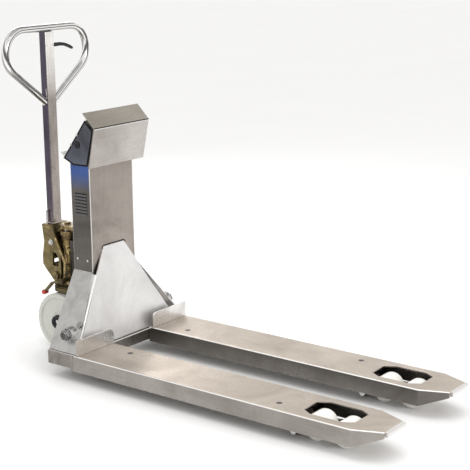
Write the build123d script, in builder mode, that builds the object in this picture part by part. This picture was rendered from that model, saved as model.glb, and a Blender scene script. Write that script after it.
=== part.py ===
from build123d import *
import math
import os

# Stainless pallet jack with a built-in weighing scale, forks lowered.
# Millimetres. +X runs along the forks to their tips, +Y to the left, +Z up.
# The origin is on the floor, under the middle of the overall length and width.

# ---- Driving dimensions -------------------------------------------------------------
fork_length = 1114.5  # from the heel datum to the fork tips
steer_setback = 302.0  # from the heel datum back to the steering axis
steer_wheel_d = 200.0
overall_width = 550.0  # over both forks
fork_width = 175.0
deck_height = 90.0  # top of the lowered forks
lift_stroke = 105.0
run_gap = 0.05  # radial clearance of a running fit
side_gap = 1.0  # clearance between plates that slide past each other
past = 1.0  # how far a cut runs beyond the face it opens
edge_break = 1.0
small_round = 2.0
casting_round = 4.0

# Fork shells
shell_wall = 4.0
shell_gap = 2.0  # from the crossbeam to the weighing shell
skirt_depth = 52.5
fold_radius = 5.0
tip_width = 98.0
taper_length = 96.5
nose_depth = 15.0
nose_length = 10.0
nose_round = 4.5
opening_length = 172.0
opening_width = 110.0
opening_end_width = 73.0
opening_chamfer = 33.0
screw_head_r = 10.0
screw_shank_r = 5.0
screw_socket_r = 3.0
screw_socket_depth = 3.0
screw_depth = 24.0
screw_cone = 4.0  # height of the countersunk head
rear_screw_x = 103.0  # from the heel datum
front_screw_x = 746.0
rear_screw_inset = 40.5  # from the fork's middle, towards the jack's middle
front_screw_outset = 37.5  # from the fork's middle, away from it

# Inner forks and load cells
channel_gap = 4.0
channel_wall = 4.0
channel_floor = 42.0
channel_top = 78.0
channel_end = 1012.0  # from the heel datum
slot_start = 730.0
ledge_end = 830.0
cell_length = 134.0
cell_width = 30.0
cell_height = 28.0
cell_foot = 6.0
cell_foot_length = 34.0
cell_screw_edge = 14.0

# Load stops
stop_setback = 11.0  # front face of the stop, behind the heel datum
stop_thickness = 5.0
stop_height = 52.0
stop_round = 20.0
stop_seat = 0.5  # the deck behind the stop's front face is lower by this much

# Crossbeam
beam_front = 33.0  # all behind the heel datum
beam_rear = 143.6
beam_depth = 45.0
beam_wall = 5.0
rod_window = 44.0
crank_slot_rear = 124.0

# A-frame
frame_plate = 5.0
front_plate_top = 399.0
front_plate_top_half = 50.0
front_plate_top_x = 90.6
front_plate_foot_half = 241.0
side_plate_top = 318.0
side_top_rear = 177.0
side_top_front = 93.0
side_foot_rear = 138.0
side_foot_front = 16.5
strip_width = 4.0
weld_gap = 0.4

# Column
column_front = 90.6
column_rear = 174.0
column_half = 105.0
column_wall = 3.0
column_foot = 235.0
cover_screw_r = 4.0
cover_screw_head = 2.5
data_plate_size = (52.0, 76.0)
data_plate_thickness = 0.8
data_plate_z = 545.0

# Indicator, outlines in the XZ plane from the heel datum
hood_rear_edge = (-83.0, 854.0)
hood_ridge = (-35.5, 807.0)
hood_foot = (-64.6, 674.0)
hood_half = 132.0
hood_sheet = 3.0
case_half = 125.0
case_wall = 3.0
case_nose = (-46.5, 797.0)
case_toe = (-76.0, 680.0)
case_heel = (-136.0, 679.0)
display_foot = (-180.0, 699.0)
display_head = (-81.0, 829.0)
cheek_margin = 5.0
cheek_sheet = 3.0
socket_half = 9.0
socket_place = (117.0, 748.0)  # behind the heel datum, above the floor
panel_sheet = 3.0
panel_half = 122.0
lip_sheet = 4.0
lip_rise = 20.0
window_length = 130.0
window_height = 52.0
window_sheet = 2.0
window_offset = 28.0
key_size = (30.0, 20.0)
key_gap = 0.5
key_proud = 2.5
key_pitch = 50.0
key_offset = -42.0
cheek_screw_places = ((-116.0, 780.0), (-144.0, 746.0))  # from the heel datum
column_screw_places = ((-155.0, 360.0), (-111.0, 357.0))
key_names = ("power_key", "zero_key", "tare_key")

# Roller arms, bogies and load rollers
bogie_setback = 916.0  # from the heel datum
roller_d = 80.0
roller_width = 64.0
roller_spacing = 96.0
roller_round = 3.0
roller_axle_r = 8.0
bogie_plate = 5.0
bogie_plate_r = 14.0
bogie_pin_r = 8.0
arm_plate = 6.0
arm_eye_r = 13.0
arm_reach = 110.0  # arm pivot to bogie pin, along the fork
arm_pivot_z = 22.0
arm_pin_r = 10.0
arm_tube_r = 14.0
ear_plate = 6.0
ear_r = 12.0
lug_inner = 9.0
lug_plate = 6.0
lug_eye_r = 9.5
rod_pin_r = 5.5
pin_end = 4.0

# Bell crank and push rods
crank_pivot_setback = 78.0
crank_pivot_z = 146.0
crank_rear_reach = 155.0
crank_rear_rise = 68.0  # rear pin above the pivot, forks lowered
crank_drop = 72.0  # rod pin below the pivot at mid stroke
trunnion_r = 14.0
crank_tube_r = 20.0
crank_tube_past = 24.5  # outside the middle of each fork
crank_eye_r = 12.0
rear_arm_inner = 19.5
rear_arm_plate = 10.0
rear_pin_r = 7.0
rod_r = 8.0
rod_end_width = 16.0
slot_play = 0.6
ring_slot_play = 2.0  # takes up the crank pin's arc
rod_eye_wall = 4.0
boss_r = 22.0
boss_clear = 0.5  # boss face outside the sloping plate
nut_r = 18.5
nut_height = 13.0
trunnion_end = 4.0
washer_r = 20.0
washer_height = 2.0
side_bolt_r = 11.0
side_bolt_head = 8.0
side_bolt_setback = 50.0
side_bolt_z = 172.0

# Steering unit
wheel_inner = 15.0
wheel_width = 50.0
wheel_round = 4.0
hub_r = 25.0
hub_proud = 12.0
hub_groove = 2.0
steer_axle_r = 10.0
axle_end = 71.0
leg_half = 13.0
leg_front = 40.0
leg_rear = 42.0
neck_r = 35.0
neck_top = 218.0
ring_r = 54.0
ring_bottom = 204.0
ring_top = 217.7
ring_lug_half = 18.0
ring_lug_wall = 5.0
flange_r = 50.0
flange_top = 222.0
body_wall_inner = 20.0
body_wall_outer = 33.0
body_rear = 345.0  # behind the heel datum
body_front = 265.0
roof_bottom = 287.5
roof_top = 300.0
cylinder_r = 27.0
cylinder_top = 415.0
gland_r = 30.0
gland_height = 12.0
ram_r = 15.0
ram_foot = 292.0
bracket_bottom = 425.0
bracket_top = 437.0
bracket_half = 30.0
bracket_bolt_r = 11.0
bracket_bolt_height = 7.0
tank_front = 224.0
tank_half = 31.0
tank_bottom = 240.0
tank_top = 388.0
tank_round = 12.0

# Tiller
pivot_setback = 326.0
pivot_z = 258.0
pivot_pin_r = 7.0
pin_head = 8.0
cam_r = 19.0
cam_throw = 9.0
cam_half = 12.0
tilt_range = 75.0
plunger_r = 7.0
plunger_head_r = 11.0
plunger_head = 3.5
plunger_foot = 196.0
plunger_play = 0.4
spring_wire = 2.0
spring_r = 9.0
spring_coils = 3.0
cheek_inner = 34.0
cheek_plate = 8.0
# Outlines of the yoke in the XZ plane, from the heel datum
yoke_cheek = [(-386, 435), (-345, 435), (-330, 412), (-302, 345), (-302, 268), (-310, 245)]
yoke_cheek += [(-340, 243), (-356, 258), (-374, 276), (-388, 292), (-388, 322), (-378, 372)]
yoke_window = [(-340, 340), (-324, 340), (-312, 322), (-312, 292), (-340, 292)]
yoke_web = [(-386, 420), (-378, 372), (-388, 322), (-388, 300)]
yoke_web += [(-380, 300), (-380, 322), (-370, 372), (-378, 420)]
tiller_setback = 365.0
tiller_size = (30.0, 40.0)
tiller_wall = 2.5
tiller_foot = 412.0
socket_rear = 386.0
socket_front = 345.0
socket_bottom = 404.0
socket_top = 435.0
loop_tube_r = 12.5
loop_tube_wall = 2.0
loop_half = 200.0
loop_top = 1115.0
loop_corner_r = 78.0
loop_root_y = 18.0
loop_root_z = 855.0
lever_pivot_y = 12.6
lever_pivot_z = 1046.5
lever_thickness = 8.0
lever_slot_low = 1030.0
lever_slot_high = 1060.0
lever_pin_r = 3.0
# Outline of the control lever in the YZ plane
lever_outline = [(7, 1053), (22, 1051), (60, 1051), (84, 1047), (108, 1038), (122, 1029)]
lever_outline += [(118, 1023), (104, 1029), (82, 1037), (60, 1039), (22, 1038), (7, 1041)]
link_wire_r = 1.6
link_length = 17.0
link_width = 9.0
chain_x_setback = 374.0
chain_y = -26.5
chain_top_z = 482.0
chain_links = 3
link_gap = 0.3

# Release pedal
pedal_pivot_setback = 280.0
pedal_pivot_z = 248.0
pedal_bend_setback = 328.0
pedal_bend_z = 237.0
pedal_tip_setback = 368.0
pedal_tip_z = 197.0
pedal_inner = 50.0
pedal_outer = 66.0
pedal_sheet = 6.0
pedal_pin_r = 5.0
pedal_boss_r = 9.0
cap_r = 8.5

# ---- Places worked out from them ----------------------------------------------------
heel_x = (steer_wheel_d / 2 + steer_setback - fork_length) / 2
tip_x = heel_x + fork_length
steer_x = heel_x - steer_setback
fork_y = (overall_width - fork_width) / 2
crank_tube_half = fork_y + crank_tube_past
skirt_bottom = deck_height - skirt_depth
deck_underside = deck_height - shell_wall
shell_rear_x = heel_x - beam_front + shell_gap
bogie_x = heel_x + bogie_setback
arm_pivot_x = bogie_x - arm_reach
roller_z = roller_d / 2
crank_x = heel_x - crank_pivot_setback
wheel_z = steer_wheel_d / 2
pivot_x = heel_x - pivot_setback
tiller_x = heel_x - tiller_setback
wheel_outer = wheel_inner + wheel_width
beam_top = deck_height
side_slope = (overall_width / 2 - column_half) / (side_plate_top - beam_top)

# Roller arm: it turns until the bogie pin has dropped by the lift stroke.
arm_radius = math.hypot(arm_reach, roller_z - arm_pivot_z)
arm_rest_angle = math.asin((roller_z - arm_pivot_z) / arm_radius)
arm_full_angle = math.asin((roller_z - arm_pivot_z - lift_stroke) / arm_radius)
arm_turn = arm_rest_angle - arm_full_angle

# Bell crank: it turns until its rear pin has dropped by the lift stroke.
crank_up = math.asin(crank_rear_rise / crank_rear_reach)
crank_down = math.asin((lift_stroke - crank_rear_rise) / crank_rear_reach)
crank_turn = crank_up + crank_down
crank_rod_r = crank_drop / math.cos(crank_turn / 2)
rod_travel = 2 * crank_rod_r * math.sin(crank_turn / 2)
rear_pin_x = crank_x - crank_rear_reach * math.cos(crank_up)
rear_pin_z = crank_pivot_z + crank_rear_rise
rear_pin_far_x = crank_x - crank_rear_reach
crank_rod_x = crank_x - rod_travel / 2
crank_rod_z = crank_pivot_z - crank_drop

# The arm's rod lug travels exactly as far along the fork as the crank's rod pin.
lug_radius = rod_travel / (2 * math.sin(arm_turn / 2))
lug_x = arm_pivot_x - rod_travel / 2
lug_z = arm_pivot_z + lug_radius * math.cos(arm_turn / 2)
lug_rise = lug_radius - lug_radius * math.cos(arm_turn / 2)
crank_sag = crank_rod_r - crank_drop

# Pump plunger: the cam presses it down while the tiller tilts.
cam_lean = math.radians(tilt_range) / 2
plunger_travel = 2 * cam_throw * math.sin(cam_lean)
cam_x = pivot_x - cam_throw * math.cos(cam_lean)
cam_z = pivot_z + cam_throw * math.sin(cam_lean)
plunger_top = cam_z - cam_r - plunger_play

# Display face of the indicator.
display_run = display_head[0] - display_foot[0]
display_climb = display_head[1] - display_foot[1]
display_length = math.hypot(display_run, display_climb)
display_normal = (-display_climb / display_length, 0, display_run / display_length)
display_origin = (
    heel_x + (display_foot[0] + display_head[0]) / 2,
    0,
    (display_foot[1] + display_head[1]) / 2,
)
display_face = Plane(origin=display_origin, x_dir=(0, -1, 0), z_dir=display_normal)

sides = (("right", -1), ("left", 1))

hanging = (Align.CENTER, Align.CENTER, Align.MAX)  # placed by the top

os.makedirs("parts", exist_ok=True)


# ---- Helpers ------------------------------------------------------------------------
def save(piece, name):
    """Label one finished piece and write it."""
    piece.part.label = name
    export_step(piece.part, f"parts/{name}.step")


def block(x_range, y_range, z_range, mode=Mode.ADD):
    """A box between two values along each axis, in the part being built."""
    spans = [high - low for low, high in (x_range, y_range, z_range)]
    middle = [(low + high) / 2 for low, high in (x_range, y_range, z_range)]
    with Locations(tuple(middle)):
        Box(*spans, mode=mode)


def y_bar(radius, x, z, y_low, y_high, mode=Mode.ADD):
    """A round bar along Y."""
    with Locations((x, (y_low + y_high) / 2, z)):
        Cylinder(radius, y_high - y_low, rotation=(90, 0, 0), mode=mode)


def x_bar(radius, y, z, x_low, x_high, mode=Mode.ADD):
    """A round bar along X."""
    with Locations(((x_low + x_high) / 2, y, z)):
        Cylinder(radius, x_high - x_low, rotation=(0, 90, 0), mode=mode)


def z_bar(radius, x, y, z_low, z_high, mode=Mode.ADD):
    """A round bar along Z."""
    with Locations((x, y, (z_low + z_high) / 2)):
        Cylinder(radius, z_high - z_low, mode=mode)


def xz_plate(points, y_low, y_high, mode=Mode.ADD):
    """A plate with a straight-sided outline in XZ, filling a span of Y."""
    with BuildSketch(Plane.XZ.offset(-y_high)) as outline:
        with BuildLine():
            Polyline(*points, close=True)
        make_face()
    extrude(outline.sketch, amount=y_high - y_low, mode=mode)


def xz_link(start, end, r_start, r_end, y_low, y_high, mode=Mode.ADD):
    """A link plate: the hull of two round eyes in XZ, filling a span of Y."""
    with BuildSketch(Plane.XZ.offset(-y_high)) as outline:
        with Locations(start):
            Circle(r_start)
        with Locations(end):
            Circle(r_end)
        make_hull()
    extrude(outline.sketch, amount=y_high - y_low, mode=mode)


def plan_plate(points, z_low, z_high, mode=Mode.ADD):
    """A plate with a straight-sided outline in plan, filling a span of Z."""
    with BuildSketch(Plane.XY.offset(z_low)) as outline:
        with BuildLine():
            Polyline(*points, close=True)
        make_face()
    extrude(outline.sketch, amount=z_high - z_low, mode=mode)


def from_heel(points):
    """Outline points given from the heel datum, as places in the jack's frame."""
    return [(heel_x + x, z) for x, z in points]


# ---- Fork shells --------------------------------------------------------------------
def fork_plan(inset, rear_x, end_x, middle_y):
    """The fork's outline in plan, parallel to the true one at the inset."""
    half = fork_width / 2 - inset
    lean = (fork_width - tip_width) / 2 / taper_length
    shoulder_x = tip_x - taper_length - inset * (math.hypot(1, lean) - 1) / lean
    end_half = half - lean * (end_x - shoulder_x)
    return [
        (rear_x, middle_y - half),
        (shoulder_x, middle_y - half),
        (end_x, middle_y - end_half),
        (end_x, middle_y + end_half),
        (shoulder_x, middle_y + half),
        (rear_x, middle_y + half),
    ]


def roller_opening(middle_y):
    """Octagonal opening over the load rollers, narrow at its two ends."""
    half = opening_length / 2
    flat = half - opening_chamfer
    wide = opening_width / 2
    narrow = opening_end_width / 2
    points = [(-half, -narrow), (-flat, -wide), (flat, -wide), (half, -narrow)]
    points += [(-x, -y) for x, y in points]
    return [(bogie_x + x, middle_y + y) for x, y in points]


def screw_places(side):
    """Plan places of the two deck screws of one fork."""
    rear = (heel_x + rear_screw_x, side * (fork_y - rear_screw_inset))
    front = (heel_x + front_screw_x, side * (fork_y + front_screw_outset))
    return [rear, front]


shell_end_x = tip_x - nose_length
stop_front_x = heel_x - stop_setback
for side_name, side in sides:
    middle_y = side * fork_y
    with BuildPart() as fork_shell:
        plan_plate(fork_plan(0, shell_rear_x, shell_end_x, middle_y), skirt_bottom, deck_height)
        top_edges = fork_shell.faces().sort_by(Axis.Z)[-1].edges()
        fillet(top_edges.filter_by(GeomType.LINE).filter_by(Axis.Y, reverse=True), fold_radius)
        inner = fork_plan(shell_wall, shell_rear_x - shell_wall, shell_end_x + shell_wall, middle_y)
        plan_plate(inner, skirt_bottom - past, deck_underside, mode=Mode.SUBTRACT)
        rise = [
            (tip_x - taper_length, skirt_bottom),
            (tip_x, deck_height - nose_depth),
            (tip_x, skirt_bottom - shell_wall),
            (tip_x - taper_length, skirt_bottom - shell_wall),
        ]
        xz_plate(rise, middle_y - fork_width, middle_y + fork_width, mode=Mode.SUBTRACT)
        opening = roller_opening(middle_y)
        plan_plate(opening, deck_underside - past, deck_height + past, mode=Mode.SUBTRACT)
        with Locations(*[(x, y, deck_height) for x, y in screw_places(side)]):
            Cone(screw_shank_r, screw_head_r, screw_cone, align=hanging, mode=Mode.SUBTRACT)
        seat_x = (shell_rear_x - past, stop_front_x)
        seat_y = (middle_y - fork_width, middle_y + fork_width)
        block(seat_x, seat_y, (deck_height - stop_seat, deck_height + past), mode=Mode.SUBTRACT)
    save(fork_shell, f"{side_name}_fork_shell")

with BuildPart() as fork_nose_bars:
    for _, side in sides:
        middle_y = side * fork_y
        nose = fork_plan(0, shell_end_x, tip_x, middle_y)
        nose = [nose[0], nose[2], nose[3], nose[5]]
        nose = [(x, middle_y + math.copysign(tip_width / 2, y - middle_y)) for x, y in nose]
        plan_plate(nose, deck_height - nose_depth, deck_height)
    front_edges = fork_nose_bars.edges().filter_by(Axis.Y).group_by(Axis.X)[-1]
    fillet(front_edges, nose_round)
save(fork_nose_bars, "fork_nose_bars")

with BuildPart() as deck_screws:
    for _, side in sides:
        for x, y in screw_places(side):
            with Locations((x, y, deck_height)):
                Cone(screw_shank_r, screw_head_r, screw_cone, align=hanging)
                Cylinder(screw_shank_r, screw_depth, align=hanging)
            with BuildSketch(Plane.XY.offset(deck_height)) as hex_socket:
                with Locations((x, y)):
                    RegularPolygon(screw_socket_r, 6)
            extrude(hex_socket.sketch, amount=-screw_socket_depth, mode=Mode.SUBTRACT)
save(deck_screws, "deck_screws")

# ---- Load cells: bars between the inner forks and the deck --------------------------
cell_base = channel_floor + channel_wall
with BuildPart() as load_cells:
    for _, side in sides:
        rear, front = screw_places(side)
        for (x, y), towards in ((rear, 1), (front, -1)):
            free_x = x - towards * cell_screw_edge
            fixed_x = free_x + towards * cell_length
            foot_x = fixed_x - towards * cell_foot_length
            y_range = (y - cell_width / 2, y + cell_width / 2)
            low = cell_base + cell_foot
            span = sorted((free_x, fixed_x))
            block(span, y_range, (low, low + cell_height))
            block(sorted((foot_x, fixed_x)), y_range, (cell_base, low))
            z_bar(screw_head_r, x, y, low + cell_height, deck_underside)
            z_bar(screw_shank_r, x, y, deck_height - screw_depth, deck_height, mode=Mode.SUBTRACT)
save(load_cells, "load_cells")

# ---- Inner forks: upward channels that carry the arms -------------------------------
channel_half = fork_width / 2 - shell_wall - channel_gap
bogie_half = roller_width / 2 + side_gap + bogie_plate
arm_inner = bogie_half + side_gap
arm_outer = arm_inner + arm_plate
ear_inner = arm_outer + side_gap
ear_outer = ear_inner + ear_plate
channel_start_x = heel_x - beam_front
channel_end_x = heel_x + channel_end
for side_name, side in sides:
    middle_y = side * fork_y
    inside = channel_half - channel_wall
    with BuildPart() as inner_fork:
        y_range = (middle_y - channel_half, middle_y + channel_half)
        block((channel_start_x, channel_end_x), y_range, (channel_floor, channel_top))
        y_range = (middle_y - inside, middle_y + inside)
        x_range = (channel_start_x - past, channel_end_x - channel_wall)
        block(x_range, y_range, (cell_base, channel_top + past), mode=Mode.SUBTRACT)
        x_range = (heel_x + ledge_end, channel_end_x - channel_wall)
        block(x_range, y_range, (channel_floor - past, cell_base), mode=Mode.SUBTRACT)
        y_range = (middle_y - ear_inner, middle_y + ear_inner)
        x_range = (heel_x + slot_start, heel_x + ledge_end)
        block(x_range, y_range, (channel_floor - past, cell_base), mode=Mode.SUBTRACT)
        for low, high in ((-ear_outer, -ear_inner), (ear_inner, ear_outer)):
            ear = ((arm_pivot_x, arm_pivot_z), (arm_pivot_x - ear_r, channel_floor + ear_r / 2))
            xz_link(*ear, ear_r, ear_r, middle_y + low, middle_y + high)
        pin_span = (middle_y - channel_half, middle_y + channel_half)
        y_bar(arm_pin_r, arm_pivot_x, arm_pivot_z, *pin_span, mode=Mode.SUBTRACT)
    save(inner_fork, f"{side_name}_inner_fork")

with BuildPart() as arm_pivot_pins:
    for _, side in sides:
        half = ear_outer + pin_end
        y_bar(arm_pin_r, arm_pivot_x, arm_pivot_z, side * fork_y - half, side * fork_y + half)
    chamfer(arm_pivot_pins.edges().filter_by(GeomType.CIRCLE), edge_break)
save(arm_pivot_pins, "arm_pivot_pins")

# ---- Load stops at the heel ---------------------------------------------------------
with BuildPart() as load_stops:
    for _, side in sides:
        y_range = (side * fork_y - fork_width / 2, side * fork_y + fork_width / 2)
        stop_x = (stop_front_x - stop_thickness, stop_front_x)
        block(stop_x, y_range, (deck_height - stop_seat, deck_height + stop_height))
    inner_corners = load_stops.edges().filter_by(Axis.X).group_by(Axis.Z)[-1]
    inner_corners = inner_corners.filter_by(lambda edge: abs(edge.center().Y) < fork_y)
    fillet(inner_corners, stop_round)
    front_feet = load_stops.edges().filter_by(Axis.Y).group_by(Axis.Z)[0].group_by(Axis.X)[-1]
    chamfer(front_feet, edge_break)
save(load_stops, "load_stops")

# ---- Crossbeam: an open-bottomed box across both forks ------------------------------
beam_front_x = heel_x - beam_front
beam_rear_x = heel_x - beam_rear
beam_half = overall_width / 2
column_x = (heel_x - column_rear, heel_x - column_front)
with BuildPart() as crossbeam:
    block((beam_rear_x, beam_front_x), (-beam_half, beam_half), (beam_top - beam_depth, beam_top))
    inner_x = (beam_rear_x + beam_wall, beam_front_x - beam_wall)
    inner_y = (-beam_half + beam_wall, beam_half - beam_wall)
    inner_z = (beam_top - beam_depth - past, beam_top - beam_wall)
    block(inner_x, inner_y, inner_z, mode=Mode.SUBTRACT)
    for _, side in sides:
        y_range = (side * fork_y - rod_window / 2, side * fork_y + rod_window / 2)
        slot_x = (heel_x - crank_slot_rear, beam_front_x - beam_wall)
        block(slot_x, y_range, (inner_z[1] - past, beam_top + past), mode=Mode.SUBTRACT)
        window_z = (cell_base, inner_z[1])
        block((slot_x[1] - past, beam_front_x + past), y_range, window_z, mode=Mode.SUBTRACT)
save(crossbeam, "crossbeam")


# ---- A-frame ------------------------------------------------------------------------
def side_plate_y(z):
    """Outer face of the right-hand side plate, as a distance from the middle."""
    return column_half + (side_plate_top - z) * side_slope


def front_plate_x(z):
    """Outer face of the front plate at a height."""
    rake = (front_plate_top_x - beam_front) / (front_plate_top - beam_top)
    return heel_x - beam_front - rake * (z - beam_top)


boss_end = side_plate_y(crank_pivot_z - washer_r) + boss_clear
slope_length = math.hypot(overall_width / 2 - column_half, side_plate_top - beam_top)
side_normal = (0, -(side_plate_top - beam_top), overall_width / 2 - column_half)
side_plane = Plane(
    origin=(heel_x, -column_half, side_plate_top), x_dir=(1, 0, 0), z_dir=side_normal
)
over = frame_plate / side_slope / 2  # the foot is trimmed flat below
rear_rake = (side_top_rear - side_foot_rear) / slope_length
front_rake = (side_top_front - side_foot_front) / slope_length
side_outline = [
    (-side_top_rear, 0),
    (-side_top_front, 0),
    (-side_foot_front + front_rake * over, -slope_length - over),
    (-side_foot_rear + rear_rake * over, -slope_length - over),
]
front_rise = front_plate_top - beam_top
front_run = front_plate_top_x - beam_front
front_slope = math.hypot(front_rise, front_run)
front_spread = (front_plate_foot_half - front_plate_top_half) / front_slope
front_foot = front_plate_foot_half + front_spread * frame_plate
front_plane = Plane(
    origin=(heel_x - front_plate_top_x, 0, front_plate_top),
    x_dir=(0, 1, 0),
    z_dir=(front_rise, 0, front_run),
)


def strip_corners(z):
    """Plan corners of the strip that joins the front plate to the right side plate."""
    widening = (front_plate_foot_half - front_plate_top_half) / front_rise
    plate_half = front_plate_top_half + (front_plate_top - z) * widening
    plate_x = front_plate_x(z)
    outer_y = side_plate_y(z)
    inner_y = outer_y - math.hypot(1, side_slope) * frame_plate
    climb = (z - beam_top) / (side_plate_top - beam_top)
    side_x = heel_x - side_foot_front - climb * (side_top_front - side_foot_front) + weld_gap
    return [
        (plate_x, -plate_half),
        (side_x, -inner_y),
        (side_x, -outer_y),
        (plate_x - frame_plate, -plate_half - strip_width),
    ]


with BuildPart() as corner_strip:
    for height in (beam_top, side_plate_top - strip_width):
        with BuildSketch(Plane.XY.offset(height)):
            with BuildLine():
                Polyline(*strip_corners(height), close=True)
            make_face()
    loft(ruled=True)

with BuildPart() as right_side_plate:
    with BuildSketch(side_plane):
        with BuildLine():
            Polyline(*side_outline, close=True)
        make_face()
    extrude(amount=-frame_plate)
    below = (beam_top - 2 * over - frame_plate, beam_top)
    block((steer_x, tip_x), (-overall_width, 0), below, mode=Mode.SUBTRACT)
    above_foot = (column_foot, side_plate_top + frame_plate)
    block(column_x, (-column_half, column_half), above_foot, mode=Mode.SUBTRACT)
    add(corner_strip.part, mode=Mode.SUBTRACT)
    boss_root = side_plate_y(crank_pivot_z) - 2 * frame_plate
    y_bar(boss_r, crank_x, crank_pivot_z, -boss_end, -boss_root)
    y_bar(trunnion_r, crank_x, crank_pivot_z, -beam_half, 0, mode=Mode.SUBTRACT)
save(right_side_plate, "right_side_plate")

with BuildPart() as left_side_plate:
    add(mirror(right_side_plate.part, about=Plane.XZ))
save(left_side_plate, "left_side_plate")

with BuildPart() as frame_front_plate:
    with BuildSketch(front_plane):
        with BuildLine():
            Polyline(
                (-front_plate_top_half, 0),
                (front_plate_top_half, 0),
                (front_foot, -front_slope - frame_plate),
                (-front_foot, -front_slope - frame_plate),
                close=True,
            )
        make_face()
    extrude(amount=-frame_plate)
    block((steer_x, tip_x), (-beam_half, beam_half), below, mode=Mode.SUBTRACT)
    above_foot = (column_foot, front_plate_top + frame_plate)
    block(column_x, (-column_half, column_half), above_foot, mode=Mode.SUBTRACT)
    add(corner_strip.part)
    add(mirror(corner_strip.part, about=Plane.XZ, mode=Mode.PRIVATE))
save(frame_front_plate, "frame_front_plate")

# ---- Column -------------------------------------------------------------------------
case_outline = from_heel([case_nose, case_toe, case_heel, display_foot, display_head])
with BuildPart() as column:
    column_y = (-column_half, column_half)
    block(column_x, column_y, (column_foot, display_foot[1]))
    bore_x = (column_x[0] + column_wall, column_x[1] - column_wall)
    bore_y = (column_y[0] + column_wall, column_y[1] - column_wall)
    block(bore_x, bore_y, (column_foot - past, display_foot[1] + past), mode=Mode.SUBTRACT)
    xz_plate(case_outline, -hood_half, hood_half, mode=Mode.SUBTRACT)
save(column, "column")

with BuildPart() as ram_bracket:
    bracket_z = (bracket_bottom, bracket_top)
    block((steer_x, column_x[0]), (-bracket_half, bracket_half), bracket_z)
    z_bar(bracket_half, steer_x, 0, *bracket_z)
    gusset = [
        (column_x[0], bracket_top),
        (column_x[0], bracket_top + bracket_half),
        (column_x[0] - 2 * bracket_half, bracket_top),
    ]
    for low in (-bracket_half, bracket_half - column_wall):
        xz_plate(gusset, low, low + column_wall)
    z_bar(bracket_bolt_r, steer_x, 0, bracket_top, bracket_top + bracket_bolt_height)
save(ram_bracket, "ram_bracket")

with BuildPart() as ram:
    z_bar(ram_r, steer_x, 0, ram_foot, bracket_bottom)
    chamfer(ram.edges().filter_by(GeomType.CIRCLE).group_by(Axis.Z)[0], edge_break)
save(ram, "ram")

label_z = (data_plate_z - data_plate_size[1] / 2, data_plate_z + data_plate_size[1] / 2)
label_middle = (column_x[0] + column_x[1]) / 2
label_x = (label_middle - data_plate_size[0] / 2, label_middle + data_plate_size[0] / 2)
with BuildPart() as data_plate:
    block(label_x, (-column_half - data_plate_thickness, -column_half), label_z)
save(data_plate, "data_plate")

# ---- Trunnion and side fasteners ----------------------------------------------------
trunnion_half = boss_end + washer_height + nut_height + trunnion_end
with BuildPart() as trunnion_shaft:
    y_bar(trunnion_r, crank_x, crank_pivot_z, -trunnion_half, trunnion_half)
    chamfer(trunnion_shaft.edges().filter_by(GeomType.CIRCLE), edge_break)
save(trunnion_shaft, "trunnion_shaft")


def hexagon(plane, radius, height):
    """A hexagonal head standing on a plane."""
    with BuildSketch(plane) as outline:
        RegularPolygon(radius, 6)
    extrude(outline.sketch, amount=height)


bolt_plane = Plane(
    origin=(heel_x - side_bolt_setback, -side_plate_y(side_bolt_z), side_bolt_z),
    x_dir=(1, 0, 0),
    z_dir=side_normal,
)
with BuildPart() as side_fasteners:
    y_bar(washer_r, crank_x, crank_pivot_z, -boss_end - washer_height, -boss_end)
    nut_plane = Plane(
        origin=(crank_x, -boss_end - washer_height, crank_pivot_z), x_dir=(1, 0, 0), z_dir=(0, -1, 0)
    )
    hexagon(nut_plane, nut_r, nut_height)
    y_bar(trunnion_r, crank_x, crank_pivot_z, -beam_half, 0, mode=Mode.SUBTRACT)
    with BuildSketch(bolt_plane) as bolt_washer:
        Circle(side_bolt_r + washer_height)
    extrude(bolt_washer.sketch, amount=washer_height)
    hexagon(bolt_plane.offset(washer_height), side_bolt_r, side_bolt_head)
    mirror(about=Plane.XZ)
save(side_fasteners, "side_fasteners")

# ---- Indicator ----------------------------------------------------------------------
with BuildPart() as indicator_hood:
    with BuildSketch(Plane.XZ.offset(-hood_half)) as hood_section:
        with BuildLine():
            hood_line = Polyline(*from_heel([hood_rear_edge, hood_ridge, hood_foot]))
            offset(hood_line, amount=hood_sheet, side=Side.RIGHT)
        make_face()
    extrude(hood_section.sketch, amount=2 * hood_half)
save(indicator_hood, "indicator_hood")

case_span = (-case_half, case_half)
with BuildPart() as indicator_case:
    xz_plate(case_outline, *case_span)
    inner_half = case_half - case_wall
    with BuildSketch(Plane.XZ.offset(-inner_half)) as cavity:
        with BuildLine():
            Polyline(*case_outline, close=True)
        make_face()
        offset(amount=-case_wall, kind=Kind.INTERSECTION, mode=Mode.REPLACE)
    extrude(cavity.sketch, amount=2 * inner_half, mode=Mode.SUBTRACT)
    with BuildSketch(display_face) as mouth:
        Rectangle(2 * inner_half, display_length - 4 * case_wall)
    extrude(mouth.sketch, amount=-2 * case_wall, mode=Mode.SUBTRACT)
save(indicator_case, "indicator_case")

with BuildPart() as cheek_plates:
    with BuildSketch(Plane.XZ.offset(case_half)) as cheek_outline:
        with BuildLine():
            Polyline(*case_outline, close=True)
        make_face()
        offset(amount=-cheek_margin, kind=Kind.INTERSECTION, mode=Mode.REPLACE)
    extrude(cheek_outline.sketch, amount=cheek_sheet)
    mirror(about=Plane.XZ)
save(cheek_plates, "cheek_plates")

cheek_y = case_half + cheek_sheet
socket_x = heel_x - socket_place[0]
socket_z = socket_place[1]
with BuildPart() as side_socket:
    socket_span = (socket_x - socket_half, socket_x + socket_half)
    socket_rise = (socket_z - socket_half, socket_z + socket_half)
    socket_face = -cheek_y - cover_screw_head
    block(socket_span, (socket_face, -cheek_y), socket_rise)
    hole_y = (socket_face - past, -cheek_y - edge_break)
    y_bar(socket_half / 2, socket_x, socket_z, *hole_y, mode=Mode.SUBTRACT)
save(side_socket, "side_socket")

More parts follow.
